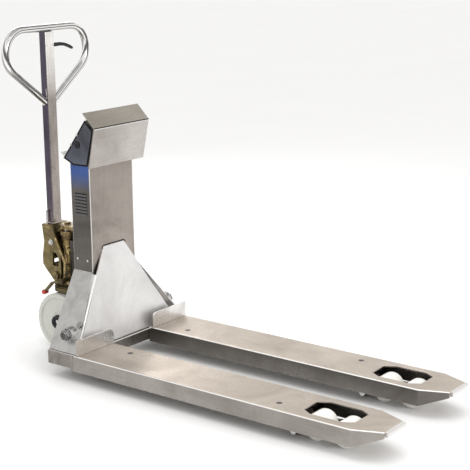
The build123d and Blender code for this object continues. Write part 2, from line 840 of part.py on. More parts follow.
with BuildPart() as cover_screws:
    for places, face_y in ((cheek_screw_places, cheek_y), (column_screw_places, column_half)):
        for x, z in places:
            y_bar(cover_screw_r, heel_x + x, z, face_y, face_y + cover_screw_head)
    mirror(about=Plane.XZ)
save(cover_screws, "cover_screws")

# The display panel closes the case; its foot is folded out into a bright lip.
middle_key = (len(key_names) - 1) / 2
panel_length = display_length - 2 * side_gap
key_places = [(key_pitch * (n - middle_key), key_offset) for n in range(len(key_names))]
with BuildPart() as display_panel:
    with BuildSketch(display_face) as panel_outline:
        Rectangle(2 * panel_half, panel_length)
    extrude(panel_outline.sketch, amount=panel_sheet)
    with BuildSketch(display_face) as window_hole:
        with Locations((0, window_offset)):
            Rectangle(window_length, window_height)
        with Locations(*key_places):
            Rectangle(key_size[0] + 2 * key_gap, key_size[1] + 2 * key_gap)
    extrude(window_hole.sketch, amount=panel_sheet, mode=Mode.SUBTRACT)
    lip_plane = display_face.offset(panel_sheet)
    with BuildSketch(lip_plane) as lip:
        with Locations((0, (lip_sheet - panel_length) / 2)):
            Rectangle(2 * panel_half, lip_sheet)
    extrude(lip.sketch, amount=lip_rise)
save(display_panel, "display_panel")

with BuildPart() as display_window:
    with BuildSketch(display_face) as window_outline:
        with Locations((0, window_offset)):
            Rectangle(window_length, window_height)
    extrude(window_outline.sketch, amount=window_sheet)
save(display_window, "display_window")

for key_name, (along, up) in zip(key_names, key_places):
    with BuildPart() as key:
        with BuildSketch(display_face) as key_outline:
            with Locations((along, up)):
                RectangleRounded(*key_size, small_round)
        extrude(key_outline.sketch, amount=panel_sheet + key_proud)
    save(key, key_name)

# ---- Bell crank ---------------------------------------------------------------------
crank_pivot = (crank_x, crank_pivot_z)
with BuildPart() as bell_crank:
    y_bar(crank_tube_r, *crank_pivot, -crank_tube_half, crank_tube_half)
    for _, side in sides:
        rear_arm = sorted((side * rear_arm_inner, side * (rear_arm_inner + rear_arm_plate)))
        xz_link(crank_pivot, (rear_pin_x, rear_pin_z), crank_tube_r, crank_eye_r, *rear_arm)
        for offset_y in (-lug_inner - lug_plate, lug_inner):
            low = side * fork_y + offset_y
            rod_eye = (crank_rod_x, crank_rod_z)
            xz_link(crank_pivot, rod_eye, crank_tube_r, crank_eye_r, low, low + lug_plate)
    y_bar(trunnion_r + run_gap, *crank_pivot, -overall_width / 2, overall_width / 2, mode=Mode.SUBTRACT)
    rear_half = rear_arm_inner + rear_arm_plate + pin_end
    y_bar(rear_pin_r, rear_pin_x, rear_pin_z, -rear_half, rear_half)
    for _, side in sides:
        half = lug_inner + lug_plate + pin_end
        y_bar(rod_pin_r, crank_rod_x, crank_rod_z, side * fork_y - half, side * fork_y + half)
save(bell_crank, "bell_crank")


# ---- Push rods ----------------------------------------------------------------------
def slot_cut(x, z_low, z_high, y_low, y_high):
    """An upright slot for the rod pin, with its play, through a rod end."""
    half = rod_pin_r + slot_play
    xz_link((x, z_low), (x, z_high), half, half, y_low, y_high, mode=Mode.SUBTRACT)


for side_name, side in sides:
    middle_y = side * fork_y
    y_range = (middle_y - rod_end_width / 2, middle_y + rod_end_width / 2)
    cut_y = (y_range[0] - past, y_range[1] + past)
    eye = rod_pin_r + slot_play + rod_eye_wall
    with BuildPart() as push_rod:
        rod_z = (crank_rod_z + lug_z) / 2
        x_bar(rod_r, middle_y, rod_z, crank_rod_x + eye, lug_x - eye)
        xz_link((crank_rod_x, crank_rod_z - crank_sag), (crank_rod_x, crank_rod_z), eye, eye, *y_range)
        block((crank_rod_x, crank_rod_x + 2 * eye), y_range, (rod_z - rod_r, rod_z + rod_r))
        xz_link((lug_x, lug_z), (lug_x, lug_z + lug_rise), eye, eye, *y_range)
        block((lug_x - 2 * eye, lug_x), y_range, (rod_z - rod_r, rod_z + rod_r))
        slot_cut(crank_rod_x, crank_rod_z - crank_sag, crank_rod_z, *cut_y)
        slot_cut(lug_x, lug_z, lug_z + lug_rise, *cut_y)
    save(push_rod, f"{side_name}_push_rod")


# ---- Roller arms, bogies and load rollers -------------------------------------------
arm_pivot = (arm_pivot_x, arm_pivot_z)
bogie_pin = (bogie_x, roller_z)
for side_name, side in sides:
    middle_y = side * fork_y
    across_fork = (middle_y - fork_width, middle_y + fork_width)
    with BuildPart() as roller_arm:
        y_bar(arm_tube_r, *arm_pivot, middle_y - arm_inner, middle_y + arm_inner)
        for low in (-arm_outer, arm_inner):
            plate_y = (middle_y + low, middle_y + low + arm_plate)
            xz_link(arm_pivot, bogie_pin, arm_eye_r, arm_eye_r, *plate_y)
        for low in (-lug_inner - lug_plate, lug_inner):
            plate_y = (middle_y + low, middle_y + low + lug_plate)
            xz_link(arm_pivot, (lug_x, lug_z), arm_tube_r, lug_eye_r, *plate_y)
        y_bar(arm_pin_r + run_gap, *arm_pivot, *across_fork, mode=Mode.SUBTRACT)
        half = lug_inner + lug_plate + side_gap
        y_bar(rod_pin_r, lug_x, lug_z, middle_y - half, middle_y + half)
        half = arm_outer + pin_end
        y_bar(bogie_pin_r, *bogie_pin, middle_y - half, middle_y + half)
    save(roller_arm, f"{side_name}_roller_arm")

    with BuildPart() as bogie:
        roller_xs = (bogie_x - roller_spacing / 2, bogie_x + roller_spacing / 2)
        for low in (-bogie_half, bogie_half - bogie_plate):
            plate_y = (middle_y + low, middle_y + low + bogie_plate)
            ends = [(x, roller_z) for x in roller_xs]
            xz_link(*ends, bogie_plate_r, bogie_plate_r, *plate_y)
        y_bar(bogie_pin_r + run_gap, *bogie_pin, *across_fork, mode=Mode.SUBTRACT)
        for x in roller_xs:
            y_bar(roller_axle_r, x, roller_z, middle_y - bogie_half, middle_y + bogie_half)
    save(bogie, f"{side_name}_bogie")

    for place, x in zip(("rear", "front"), roller_xs):
        with BuildPart() as load_roller:
            y_bar(roller_d / 2, x, roller_z, middle_y - roller_width / 2, middle_y + roller_width / 2)
            fillet(load_roller.edges().filter_by(GeomType.CIRCLE), roller_round)
            y_bar(roller_axle_r + run_gap, x, roller_z, *across_fork, mode=Mode.SUBTRACT)
        save(load_roller, f"{side_name}_{place}_roller")

# ---- Steering unit: thrust ring, carrier, axle and wheels ---------------------------
with BuildPart() as thrust_ring:
    z_bar(ring_r, steer_x, 0, ring_bottom, ring_top)
    half = rear_pin_r + ring_slot_play
    lug_back = rear_pin_x + half + ring_lug_wall
    lug_reach = (rear_pin_far_x - half - ring_lug_wall, lug_back)
    lug_top = rear_pin_z + half + ring_lug_wall
    block((steer_x + neck_r, lug_back), (-ring_lug_half, ring_lug_half), (ring_bottom, ring_top))
    block(lug_reach, (-ring_lug_half, ring_lug_half), (ring_bottom, lug_top))
    slot_ends = ((rear_pin_far_x, rear_pin_z), (rear_pin_x, rear_pin_z))
    xz_link(*slot_ends, half, half, -ring_lug_half - past, ring_lug_half + past, mode=Mode.SUBTRACT)
    z_bar(neck_r + run_gap, steer_x, 0, ring_bottom - past, lug_top + past, mode=Mode.SUBTRACT)
save(thrust_ring, "thrust_ring")

leg_x = (steer_x - leg_rear, steer_x + leg_front)
with BuildPart() as wheel_carrier:
    block(leg_x, (-leg_half, leg_half), (wheel_z, steer_wheel_d + side_gap))
    y_bar(leg_front, steer_x, wheel_z, -leg_half, leg_half)
    z_bar(neck_r, steer_x, 0, steer_wheel_d + side_gap, neck_top)
    bore_z = (plunger_foot - plunger_travel - side_gap, neck_top + past)
    z_bar(plunger_r + run_gap, pivot_x, 0, *bore_z, mode=Mode.SUBTRACT)
    y_bar(steer_axle_r, steer_x, wheel_z, -wheel_outer, wheel_outer, mode=Mode.SUBTRACT)
save(wheel_carrier, "wheel_carrier")

with BuildPart() as steer_axle:
    y_bar(steer_axle_r, steer_x, wheel_z, -axle_end, axle_end)
    chamfer(steer_axle.edges().filter_by(GeomType.CIRCLE), edge_break)
save(steer_axle, "steer_axle")

for side_name, side in sides:
    with BuildPart() as steer_wheel:
        tread = sorted((side * wheel_inner, side * wheel_outer))
        y_bar(steer_wheel_d / 2, steer_x, wheel_z, *tread)
        fillet(steer_wheel.edges().filter_by(GeomType.CIRCLE), wheel_round)
        y_bar(hub_r, steer_x, wheel_z, -overall_width, overall_width, mode=Mode.SUBTRACT)
    save(steer_wheel, f"{side_name}_steer_wheel")

    with BuildPart() as wheel_hub:
        y_bar(hub_r, steer_x, wheel_z, *tread)
        cap = sorted((side * wheel_outer, side * (wheel_outer + hub_proud)))
        y_bar(hub_r - hub_groove, steer_x, wheel_z, *cap)
        bore = sorted((0, side * (axle_end + past)))
        y_bar(steer_axle_r + run_gap, steer_x, wheel_z, *bore, mode=Mode.SUBTRACT)
        rims = wheel_hub.edges().filter_by(GeomType.CIRCLE).group_by(Axis.Y)[0 if side < 0 else -1]
        fillet(rims, hub_groove)
    save(wheel_hub, f"{side_name}_wheel_hub")

# ---- Pump -------------------------------------------------------------------------
pedal_pivot = (heel_x - pedal_pivot_setback, pedal_pivot_z)
pedal_bend = (heel_x - pedal_bend_setback, pedal_bend_z)
pedal_tip = (heel_x - pedal_tip_setback, pedal_tip_z)
body_x = (heel_x - body_rear, heel_x - body_front)
with BuildPart() as pump_body:
    z_bar(flange_r, steer_x, 0, neck_top, flange_top)
    for low, high in ((-body_wall_outer, -body_wall_inner), (body_wall_inner, body_wall_outer)):
        block(body_x, (low, high), (flange_top - past, roof_bottom))
    block(body_x, (-body_wall_outer, body_wall_outer), (roof_bottom, roof_top))
    y_bar(pedal_pin_r, *pedal_pivot, -pedal_outer - pin_end, -body_wall_outer)
    y_bar(pedal_boss_r, *pedal_pivot, -pedal_outer - pin_end, -pedal_outer - side_gap)
    z_bar(plunger_r + run_gap, pivot_x, 0, neck_top - past, flange_top + past, mode=Mode.SUBTRACT)
    y_bar(pivot_pin_r + run_gap, pivot_x, pivot_z, -overall_width, overall_width, mode=Mode.SUBTRACT)
    z_bar(ram_r + run_gap, steer_x, 0, ram_foot - past, roof_top + past, mode=Mode.SUBTRACT)
save(pump_body, "pump_body")

with BuildPart() as pump_cylinder:
    z_bar(cylinder_r, steer_x, 0, roof_top, cylinder_top)
    z_bar(gland_r, steer_x, 0, cylinder_top - gland_height, cylinder_top)
    top_rim = pump_cylinder.edges().filter_by(GeomType.CIRCLE).group_by(Axis.Z)[-1]
    chamfer(top_rim, edge_break)
    z_bar(ram_r + run_gap, steer_x, 0, roof_top - past, cylinder_top + past, mode=Mode.SUBTRACT)
save(pump_cylinder, "pump_cylinder")

with BuildPart() as oil_reservoir:
    tank_x = (body_x[1], heel_x - tank_front)
    block(tank_x, (-tank_half, tank_half), (tank_bottom, tank_top))
    fillet(oil_reservoir.edges().filter_by(Axis.Z).group_by(Axis.X)[-1], tank_round)
    fillet(oil_reservoir.faces().sort_by(Axis.Z)[-1].edges().group_by(Axis.X)[-1], nose_round)
    z_bar(gland_r + side_gap, steer_x, 0, roof_top + past, tank_top + past, mode=Mode.SUBTRACT)
save(oil_reservoir, "oil_reservoir")

with BuildPart() as pump_plunger:
    z_bar(plunger_r, pivot_x, 0, plunger_foot, plunger_top)
    z_bar(plunger_head_r, pivot_x, 0, plunger_top - plunger_head, plunger_top)
save(pump_plunger, "pump_plunger")

spring_length = plunger_top - plunger_head - flange_top
with BuildPart() as plunger_spring:
    coil_height = spring_length - 2 * spring_wire
    coil_foot = (pivot_x, 0, flange_top + spring_wire)
    pitch = coil_height / spring_coils
    coil = Helix(pitch, coil_height, spring_r, center=coil_foot, mode=Mode.PRIVATE)
    with BuildSketch(Plane(origin=coil @ 0, z_dir=coil % 0)):
        Circle(spring_wire / 2)
    sweep(path=coil)
save(plunger_spring, "plunger_spring")

# ---- Release pedal ------------------------------------------------------------------
with BuildPart() as release_pedal:
    pedal_half = pedal_sheet / 2
    for start, end in ((pedal_pivot, pedal_bend), (pedal_bend, pedal_tip)):
        xz_link(start, end, pedal_half, pedal_half, -pedal_outer, -pedal_inner)
    y_bar(pedal_boss_r, *pedal_pivot, -pedal_outer, -pedal_inner)
    y_bar(pedal_pin_r + run_gap, *pedal_pivot, -pedal_outer - past, 0, mode=Mode.SUBTRACT)
    y_bar(cap_r, *pedal_tip, -overall_width, 0, mode=Mode.SUBTRACT)
save(release_pedal, "release_pedal")

with BuildPart() as pedal_cap:
    y_bar(cap_r, *pedal_tip, -pedal_outer - small_round, -pedal_inner + small_round)
    fillet(pedal_cap.edges().filter_by(GeomType.CIRCLE), small_round)
save(pedal_cap, "pedal_cap")

# ---- Tiller -------------------------------------------------------------------------
cheek_outer = cheek_inner + cheek_plate
tube_x = (tiller_x - tiller_size[0] / 2, tiller_x + tiller_size[0] / 2)
tube_half = tiller_size[1] / 2
with BuildPart() as tiller_yoke:
    for low, high in ((-cheek_outer, -cheek_inner), (cheek_inner, cheek_outer)):
        xz_plate(from_heel(yoke_cheek), low, high)
        y_bar(cheek_outer / 2, pivot_x, pivot_z, low, high)
    fillet(tiller_yoke.edges().filter_by(Axis.Y), casting_round)
    xz_plate(from_heel(yoke_window), -cheek_outer - past, cheek_outer + past, mode=Mode.SUBTRACT)
    socket_x_range = (heel_x - socket_rear, heel_x - socket_front)
    block(socket_x_range, (-cheek_inner, cheek_inner), (socket_bottom, socket_top))
    xz_plate(from_heel(yoke_web), -cheek_inner, cheek_inner)
    block(tube_x, (-tube_half, tube_half), (tiller_foot, socket_top + past), mode=Mode.SUBTRACT)
    y_bar(pivot_pin_r, pivot_x, pivot_z, -cheek_outer - past, cheek_outer + past, mode=Mode.SUBTRACT)
save(tiller_yoke, "tiller_yoke")

with BuildPart() as pump_cam:
    y_bar(pivot_pin_r, pivot_x, pivot_z, -cheek_outer, cheek_outer)
    y_bar(cam_r, cam_x, cam_z, -cam_half, cam_half)
    for low in (-cheek_outer - pin_head, cheek_outer):
        y_bar(2 * pivot_pin_r, pivot_x, pivot_z, low, low + pin_head)
save(pump_cam, "pump_cam")


def loop_path():
    """Half of the handle loop's centreline, from its root to the middle of its top."""
    side_y = loop_half - loop_tube_r
    top_z = loop_top - loop_tube_r
    centre = (side_y - loop_corner_r, top_z - loop_corner_r)
    back = (loop_root_y - centre[0], loop_root_z - centre[1])
    lean = math.atan2(back[1], back[0]) + math.acos(loop_corner_r / math.hypot(*back))
    start = [c + loop_corner_r * f(lean) for c, f in zip(centre, (math.cos, math.sin))]
    middle_angle = (lean + math.pi / 2) / 2
    bulge = [c + loop_corner_r * f(middle_angle) for c, f in zip(centre, (math.cos, math.sin))]
    return tuple(start), tuple(bulge), (centre[0], top_z)


leg_end, corner_middle, corner_top = loop_path()
loop_plane = Plane.YZ.offset(tiller_x)
with BuildPart() as handle_loop:
    with BuildLine(loop_plane) as loop_line:
        Line((loop_root_y, loop_root_z), leg_end)
        ThreePointArc(leg_end, corner_middle, corner_top)
        Line(corner_top, (-corner_top[0], corner_top[1]))
        ThreePointArc(*[(-y, z) for y, z in (corner_top, corner_middle, leg_end)])
        Line((-leg_end[0], leg_end[1]), (-loop_root_y, loop_root_z))
    with BuildSketch(Plane(origin=loop_line.line @ 0, z_dir=loop_line.line % 0)):
        Circle(loop_tube_r)
        Circle(loop_tube_r - loop_tube_wall, mode=Mode.SUBTRACT)
    sweep(path=loop_line.line)
    block(tube_x, (-tube_half, tube_half), (tiller_foot, loop_top - 2 * loop_tube_r), mode=Mode.SUBTRACT)
save(handle_loop, "handle_loop")

with BuildPart() as tiller_tube:
    tube_z = (tiller_foot, loop_top - 2 * loop_tube_r)
    block(tube_x, (-tube_half, tube_half), tube_z)
    fillet(tiller_tube.edges().filter_by(Axis.Z), tiller_wall)
    inner_x = (tube_x[0] + tiller_wall, tube_x[1] - tiller_wall)
    inner_half = tube_half - tiller_wall
    block(inner_x, (-inner_half, inner_half), (tube_z[0] - past, tube_z[1] + past), mode=Mode.SUBTRACT)
    slot_x = (tiller_x - lever_thickness / 2 - side_gap, tiller_x + lever_thickness / 2 + side_gap)
    block(slot_x, (0, tube_half + past), (lever_slot_low, lever_slot_high), mode=Mode.SUBTRACT)
    lever_pivot = (lever_pivot_y, lever_pivot_z)
    x_bar(lever_pin_r, *lever_pivot, *inner_x)
save(tiller_tube, "tiller_tube")

with BuildPart() as control_lever:
    with BuildSketch(Plane.YZ.offset(tiller_x - lever_thickness / 2)):
        with BuildLine():
            Polyline(*lever_outline, close=True)
        make_face()
    extrude(amount=lever_thickness)
    fillet(control_lever.edges().filter_by(Axis.X), small_round)
    x_bar(lever_pin_r + run_gap, *lever_pivot, tube_x[0], tube_x[1], mode=Mode.SUBTRACT)
save(control_lever, "control_lever")


def chain_link(z, turned):
    """One oval wire link, standing along Z and turned a quarter on its neighbours."""
    across = (0, 1, 0) if turned else (1, 0, 0)
    facing = (1, 0, 0) if turned else (0, -1, 0)
    plane = Plane(origin=(heel_x - chain_x_setback, chain_y, z), x_dir=across, z_dir=facing)
    bend_r = link_width / 2 - link_wire_r
    straight = link_length - link_width
    with BuildPart() as link:
        with BuildLine(plane) as loop:
            Line((bend_r, -straight / 2), (bend_r, straight / 2))
            ThreePointArc((bend_r, straight / 2), (0, straight / 2 + bend_r), (-bend_r, straight / 2))
            Line((-bend_r, straight / 2), (-bend_r, -straight / 2))
            ThreePointArc((-bend_r, -straight / 2), (0, -straight / 2 - bend_r), (bend_r, -straight / 2))
        with BuildSketch(Plane(origin=loop.line @ 0, z_dir=loop.line % 0)):
            Circle(link_wire_r)
        sweep(path=loop.line)
    return link.part


link_pitch = link_length - 2 * link_wire_r - link_gap
with BuildPart() as release_chain:
    for place in range(chain_links):
        add(chain_link(chain_top_z - link_length / 2 - place * link_pitch, place % 2))
    hook_z = chain_top_z - 3 * link_wire_r - link_gap
    y_bar(link_wire_r, heel_x - chain_x_setback, hook_z, chain_y - link_width / 2, -tube_half)
save(release_chain, "release_chain")
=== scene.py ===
"""Looks of the stainless weighing pallet jack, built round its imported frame. Metres, +X to the fork tips."""
import math

import bpy
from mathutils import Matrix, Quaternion, Vector


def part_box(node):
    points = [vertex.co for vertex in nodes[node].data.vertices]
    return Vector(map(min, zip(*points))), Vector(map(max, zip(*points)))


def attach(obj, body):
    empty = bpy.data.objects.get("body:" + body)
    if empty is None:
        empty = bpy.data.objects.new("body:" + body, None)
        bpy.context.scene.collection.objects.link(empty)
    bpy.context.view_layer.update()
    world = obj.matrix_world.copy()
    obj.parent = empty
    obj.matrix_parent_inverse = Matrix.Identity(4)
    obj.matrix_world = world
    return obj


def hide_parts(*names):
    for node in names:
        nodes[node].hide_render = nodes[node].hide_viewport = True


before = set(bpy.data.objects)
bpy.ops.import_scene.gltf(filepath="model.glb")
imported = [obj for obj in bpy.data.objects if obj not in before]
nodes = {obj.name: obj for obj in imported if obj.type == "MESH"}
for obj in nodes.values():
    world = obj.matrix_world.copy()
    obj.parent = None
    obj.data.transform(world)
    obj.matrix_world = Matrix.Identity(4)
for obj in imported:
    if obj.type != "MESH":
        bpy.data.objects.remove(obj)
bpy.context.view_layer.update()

# ---- Places read from the frame -----------------------------------------------------
mm = 0.001
shell_low, shell_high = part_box("right_fork_shell")
stop_low, stop_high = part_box("load_stops")
stops_to_heel = 11 * mm
heel_x = stop_high.x + stops_to_heel
deck_z = shell_high.z
fork_mid = -(shell_low.y + shell_high.y) / 2
fork_half = (shell_high.y - shell_low.y) / 2
wheel_low, wheel_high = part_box("right_steer_wheel")
wheel_x = (wheel_low.x + wheel_high.x) / 2
wheel_z = (wheel_low.z + wheel_high.z) / 2
wheel_r = (wheel_high.x - wheel_low.x) / 2
tube_low, tube_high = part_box("tiller_tube")
tiller_x = (tube_low.x + tube_high.x) / 2
loop_low, loop_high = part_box("handle_loop")
sides = (("right", -1), ("left", 1))


# ---- Modelling tools ----------------------------------------------------------------
def deselect():
    """Leave edit mode and select nothing, so the next operator acts on one piece only."""
    if bpy.context.object and bpy.context.object.mode != "OBJECT":
        bpy.ops.object.mode_set(mode="OBJECT")
    bpy.ops.object.select_all(action="DESELECT")


def hold(piece):
    """Make one piece the only selected and active one."""
    deselect()
    piece.select_set(True)
    bpy.context.view_layer.objects.active = piece
    return piece


def pick(piece, test, kind="FACE"):
    """In edit mode, select the faces whose middle and normal pass a test, or the edges whose ends do."""
    hold(piece)
    bpy.ops.object.mode_set(mode="EDIT")
    bpy.ops.mesh.select_mode(type=kind)
    bpy.ops.mesh.select_all(action="DESELECT")
    bpy.ops.object.mode_set(mode="OBJECT")
    points = piece.data.vertices
    if kind == "FACE":
        for face in piece.data.polygons:
            face.select = test(face.center, face.normal)
    else:
        for edge in piece.data.edges:
            edge.select = test(*[points[i].co for i in edge.vertices])
    bpy.ops.object.mode_set(mode="EDIT")


def settle(piece):
    """Put the piece's place into its mesh, so that its object sits at the origin."""
    hold(piece)
    bpy.ops.object.transform_apply(location=True, rotation=True, scale=True)
    return piece


def clean(piece):
    """Merge doubled points and turn every face outwards."""
    hold(piece)
    bpy.ops.object.mode_set(mode="EDIT")
    bpy.ops.mesh.select_all(action="SELECT")
    bpy.ops.mesh.remove_doubles(threshold=0.01 * mm)
    bpy.ops.mesh.normals_make_consistent(inside=False)
    bpy.ops.object.mode_set(mode="OBJECT")
    return piece


def round_edges(piece, width, steps=2, angle=35):
    """Round every edge sharper than an angle."""
    hold(piece)
    bevel = piece.modifiers.new("edges", "BEVEL")
    bevel.width = width
    bevel.segments = steps
    bevel.limit_method = "ANGLE"
    bevel.angle_limit = math.radians(angle)
    bpy.ops.object.modifier_apply(modifier="edges")
    return piece


def join(pieces):
    """Make one mesh of several, keeping each solid whole."""
    hold(pieces[0])
    for piece in pieces[1:]:
        piece.select_set(True)
    bpy.ops.object.join()
    return bpy.context.object


def rod(start, end, radius, points=24):
    """A round bar between two places."""
    start, end = Vector(start), Vector(end)
    run = end - start
    turn = run.to_track_quat("Z", "Y").to_euler()
    deselect()
    bpy.ops.mesh.primitive_cylinder_add(
        vertices=points, radius=radius, depth=run.length, location=(start + end) / 2, rotation=turn
    )
    return settle(bpy.context.object)


def slab(low, high):
    """A block between two opposite corners."""
    low, high = Vector(low), Vector(high)
    deselect()
    bpy.ops.mesh.primitive_cube_add(size=1, location=(low + high) / 2)
    bpy.context.object.scale = high - low
    return settle(bpy.context.object)


def turned(profile, centre, axis="Y", steps=64):
    """A lathe-turned piece. The profile gives radius and place along the axis, from one end to the other."""
    out = Vector((1, 0, 0)) if axis != "X" else Vector((0, 0, 1))
    along = {"X": Vector((1, 0, 0)), "Y": Vector((0, 1, 0)), "Z": Vector((0, 0, 1))}[axis]
    centre = Vector(centre)
    places = [centre + out * r + along * a for r, a in profile]
    deselect()
    bpy.ops.mesh.primitive_plane_add(size=mm, location=places[0])
    piece = settle(bpy.context.object)
    bpy.ops.object.mode_set(mode="EDIT")
    bpy.ops.mesh.select_mode(type="VERT")
    bpy.ops.mesh.merge(type="CENTER")
    for here, there in zip(places, places[1:]):
        bpy.ops.mesh.extrude_region_move(TRANSFORM_OT_translate={"value": there - here})
    bpy.ops.mesh.select_all(action="SELECT")
    bpy.ops.mesh.spin(steps=steps, angle=2 * math.pi, center=centre, axis=along, dupli=False)
    return clean(piece)


def weld(start, end, radius):
    """A bead of overlapping drops laid along a straight seam."""
    start, end = Vector(start), Vector(end)
    run = end - start
    pitch = 0.9  # from drop to drop, as a share of the radius
    deselect()
    bpy.ops.mesh.primitive_uv_sphere_add(segments=8, ring_count=5, radius=radius, location=start)
    bead = bpy.context.object
    drops = bead.modifiers.new("drops", "ARRAY")
    drops.use_relative_offset = False
    drops.use_constant_offset = True
    drops.constant_offset_displace = run.normalized() * radius * pitch
    drops.count = max(2, int(run.length / (radius * pitch)))
    bpy.ops.object.modifier_apply(modifier="drops")
    return settle(bead)


def hex_bolt(centre, direction, radius, height, washer):
    """A hexagonal head with chamfered corners on a washer."""
    centre, direction = Vector(centre), Vector(direction).normalized()
    washer_height = 2.5 * mm
    corner_cut, crown = 0.12, 0.08  # shares of the radius
    ring = rod(centre, centre + direction * washer_height, washer, 32)
    parts = [round_edges(ring, 0.5 * mm, 1)]
    centre = centre + direction * washer_height
    head = rod(centre, centre + direction * height, radius, 6)
    pick(head, lambda middle, normal: normal.dot(direction) > 0.9)
    bpy.ops.mesh.inset(thickness=radius * corner_cut)
    bpy.ops.transform.translate(value=direction * radius * crown)
    bpy.ops.object.mode_set(mode="OBJECT")
    parts.append(round_edges(head, 0.35 * mm, angle=20))
    return join(parts)


# ---- Materials ----------------------------------------------------------------------
evenly = (1, 1, 1)  # no stretch
grain_depth = 0.4 * mm
edge_highlight_gain = 1.5  # how much lighter the painted highlight on a sharp edge is


def new_material(name):
    """A material with its shader, ready for its pattern."""
    material = bpy.data.materials.new(name)
    material.use_nodes = True
    tree = material.node_tree
    shader = tree.nodes["Principled BSDF"]
    return material, tree, shader


def node(tree, kind, inputs=(), **settings):
    """Add a node, set it up and link or fill its inputs."""
    made = tree.nodes.new(kind)
    for key, value in settings.items():
        setattr(made, key, value)
    for key, value in dict(inputs).items():
        if hasattr(value, "is_output"):
            tree.links.new(value, made.inputs[key])
        else:
            made.inputs[key].default_value = value
    return made


def place_of(tree, scale):
    """The surface's own place, stretched for a pattern."""
    source = node(tree, "ShaderNodeTexCoord")
    return node(
        tree, "ShaderNodeMapping", {"Vector": source.outputs["Object"], "Scale": scale}
    ).outputs["Vector"]


def noise(tree, where, scale, detail=3.0, rough=0.5, bend=0.0):
    """A cloudy pattern between 0 and 1."""
    settings = {"Vector": where, "Scale": scale, "Detail": detail, "Roughness": rough, "Distortion": bend}
    return node(tree, "ShaderNodeTexNoise", settings).outputs["Fac"]


def spread(tree, value, low, high, to_low, to_high):
    """Stretch a pattern to another range."""
    inputs = {"Value": value, "From Min": low, "From Max": high, "To Min": to_low, "To Max": to_high}
    return node(tree, "ShaderNodeMapRange", inputs).outputs["Result"]


def blend(tree, share, first, second, kind="MIX"):
    """Mix two colours by a pattern."""
    made = node(tree, "ShaderNodeMix", data_type="RGBA", blend_type=kind)
    for socket, value in ((0, share), (6, first), (7, second)):
        if hasattr(value, "is_output"):
            tree.links.new(value, made.inputs[socket])
        else:
            made.inputs[socket].default_value = value
    return made.outputs[2]


def edge_highlight_and_rounding(tree, radius):
    """How close the surface is to a sharp edge, and the normal that rounds that edge."""
    soft = node(tree, "ShaderNodeBevel", {"Radius": radius}, samples=4)
    flat = node(tree, "ShaderNodeNewGeometry")
    close = node(tree, "ShaderNodeVectorMath", operation="DOT_PRODUCT")
    tree.links.new(soft.outputs["Normal"], close.inputs[0])
    tree.links.new(flat.outputs["Normal"], close.inputs[1])
    # The closeness to an edge is used to place a painted highlight along it.
    flat_match, edge_match = 0.995, 0.9
    return spread(tree, close.outputs["Value"], flat_match, edge_match, 0.0, 1.0), soft.outputs["Normal"]


def facing(tree):
    """How far the surface faces along, across and up, each from 0 to 1, and its normal."""
    source = node(tree, "ShaderNodeTexCoord")
    square = node(tree, "ShaderNodeVectorMath", operation="MULTIPLY")
    tree.links.new(source.outputs["Normal"], square.inputs[0])
    tree.links.new(source.outputs["Normal"], square.inputs[1])
    parts = node(tree, "ShaderNodeSeparateXYZ", {"Vector": square.outputs["Vector"]})
    return parts.outputs, source.outputs["Normal"]


def height(tree):
    """How high the surface is above the floor."""
    source = node(tree, "ShaderNodeTexCoord")
    return node(tree, "ShaderNodeSeparateXYZ", {"Vector": source.outputs["Object"]}).outputs["Z"]


def times(tree, first, second):
    """Multiply two patterns, or a pattern and a number."""
    return node(tree, "ShaderNodeMath", {0: first, 1: second}, operation="MULTIPLY").outputs[0]


def colour(red, green, blue):
    """A solid colour, in linear light."""
    return (red, green, blue, 1.0)


def lighter(tone, factor):
    """A colour made lighter or darker, and never past white."""
    return tuple(min(1.0, channel * factor) for channel in tone[:3]) + (1.0,)


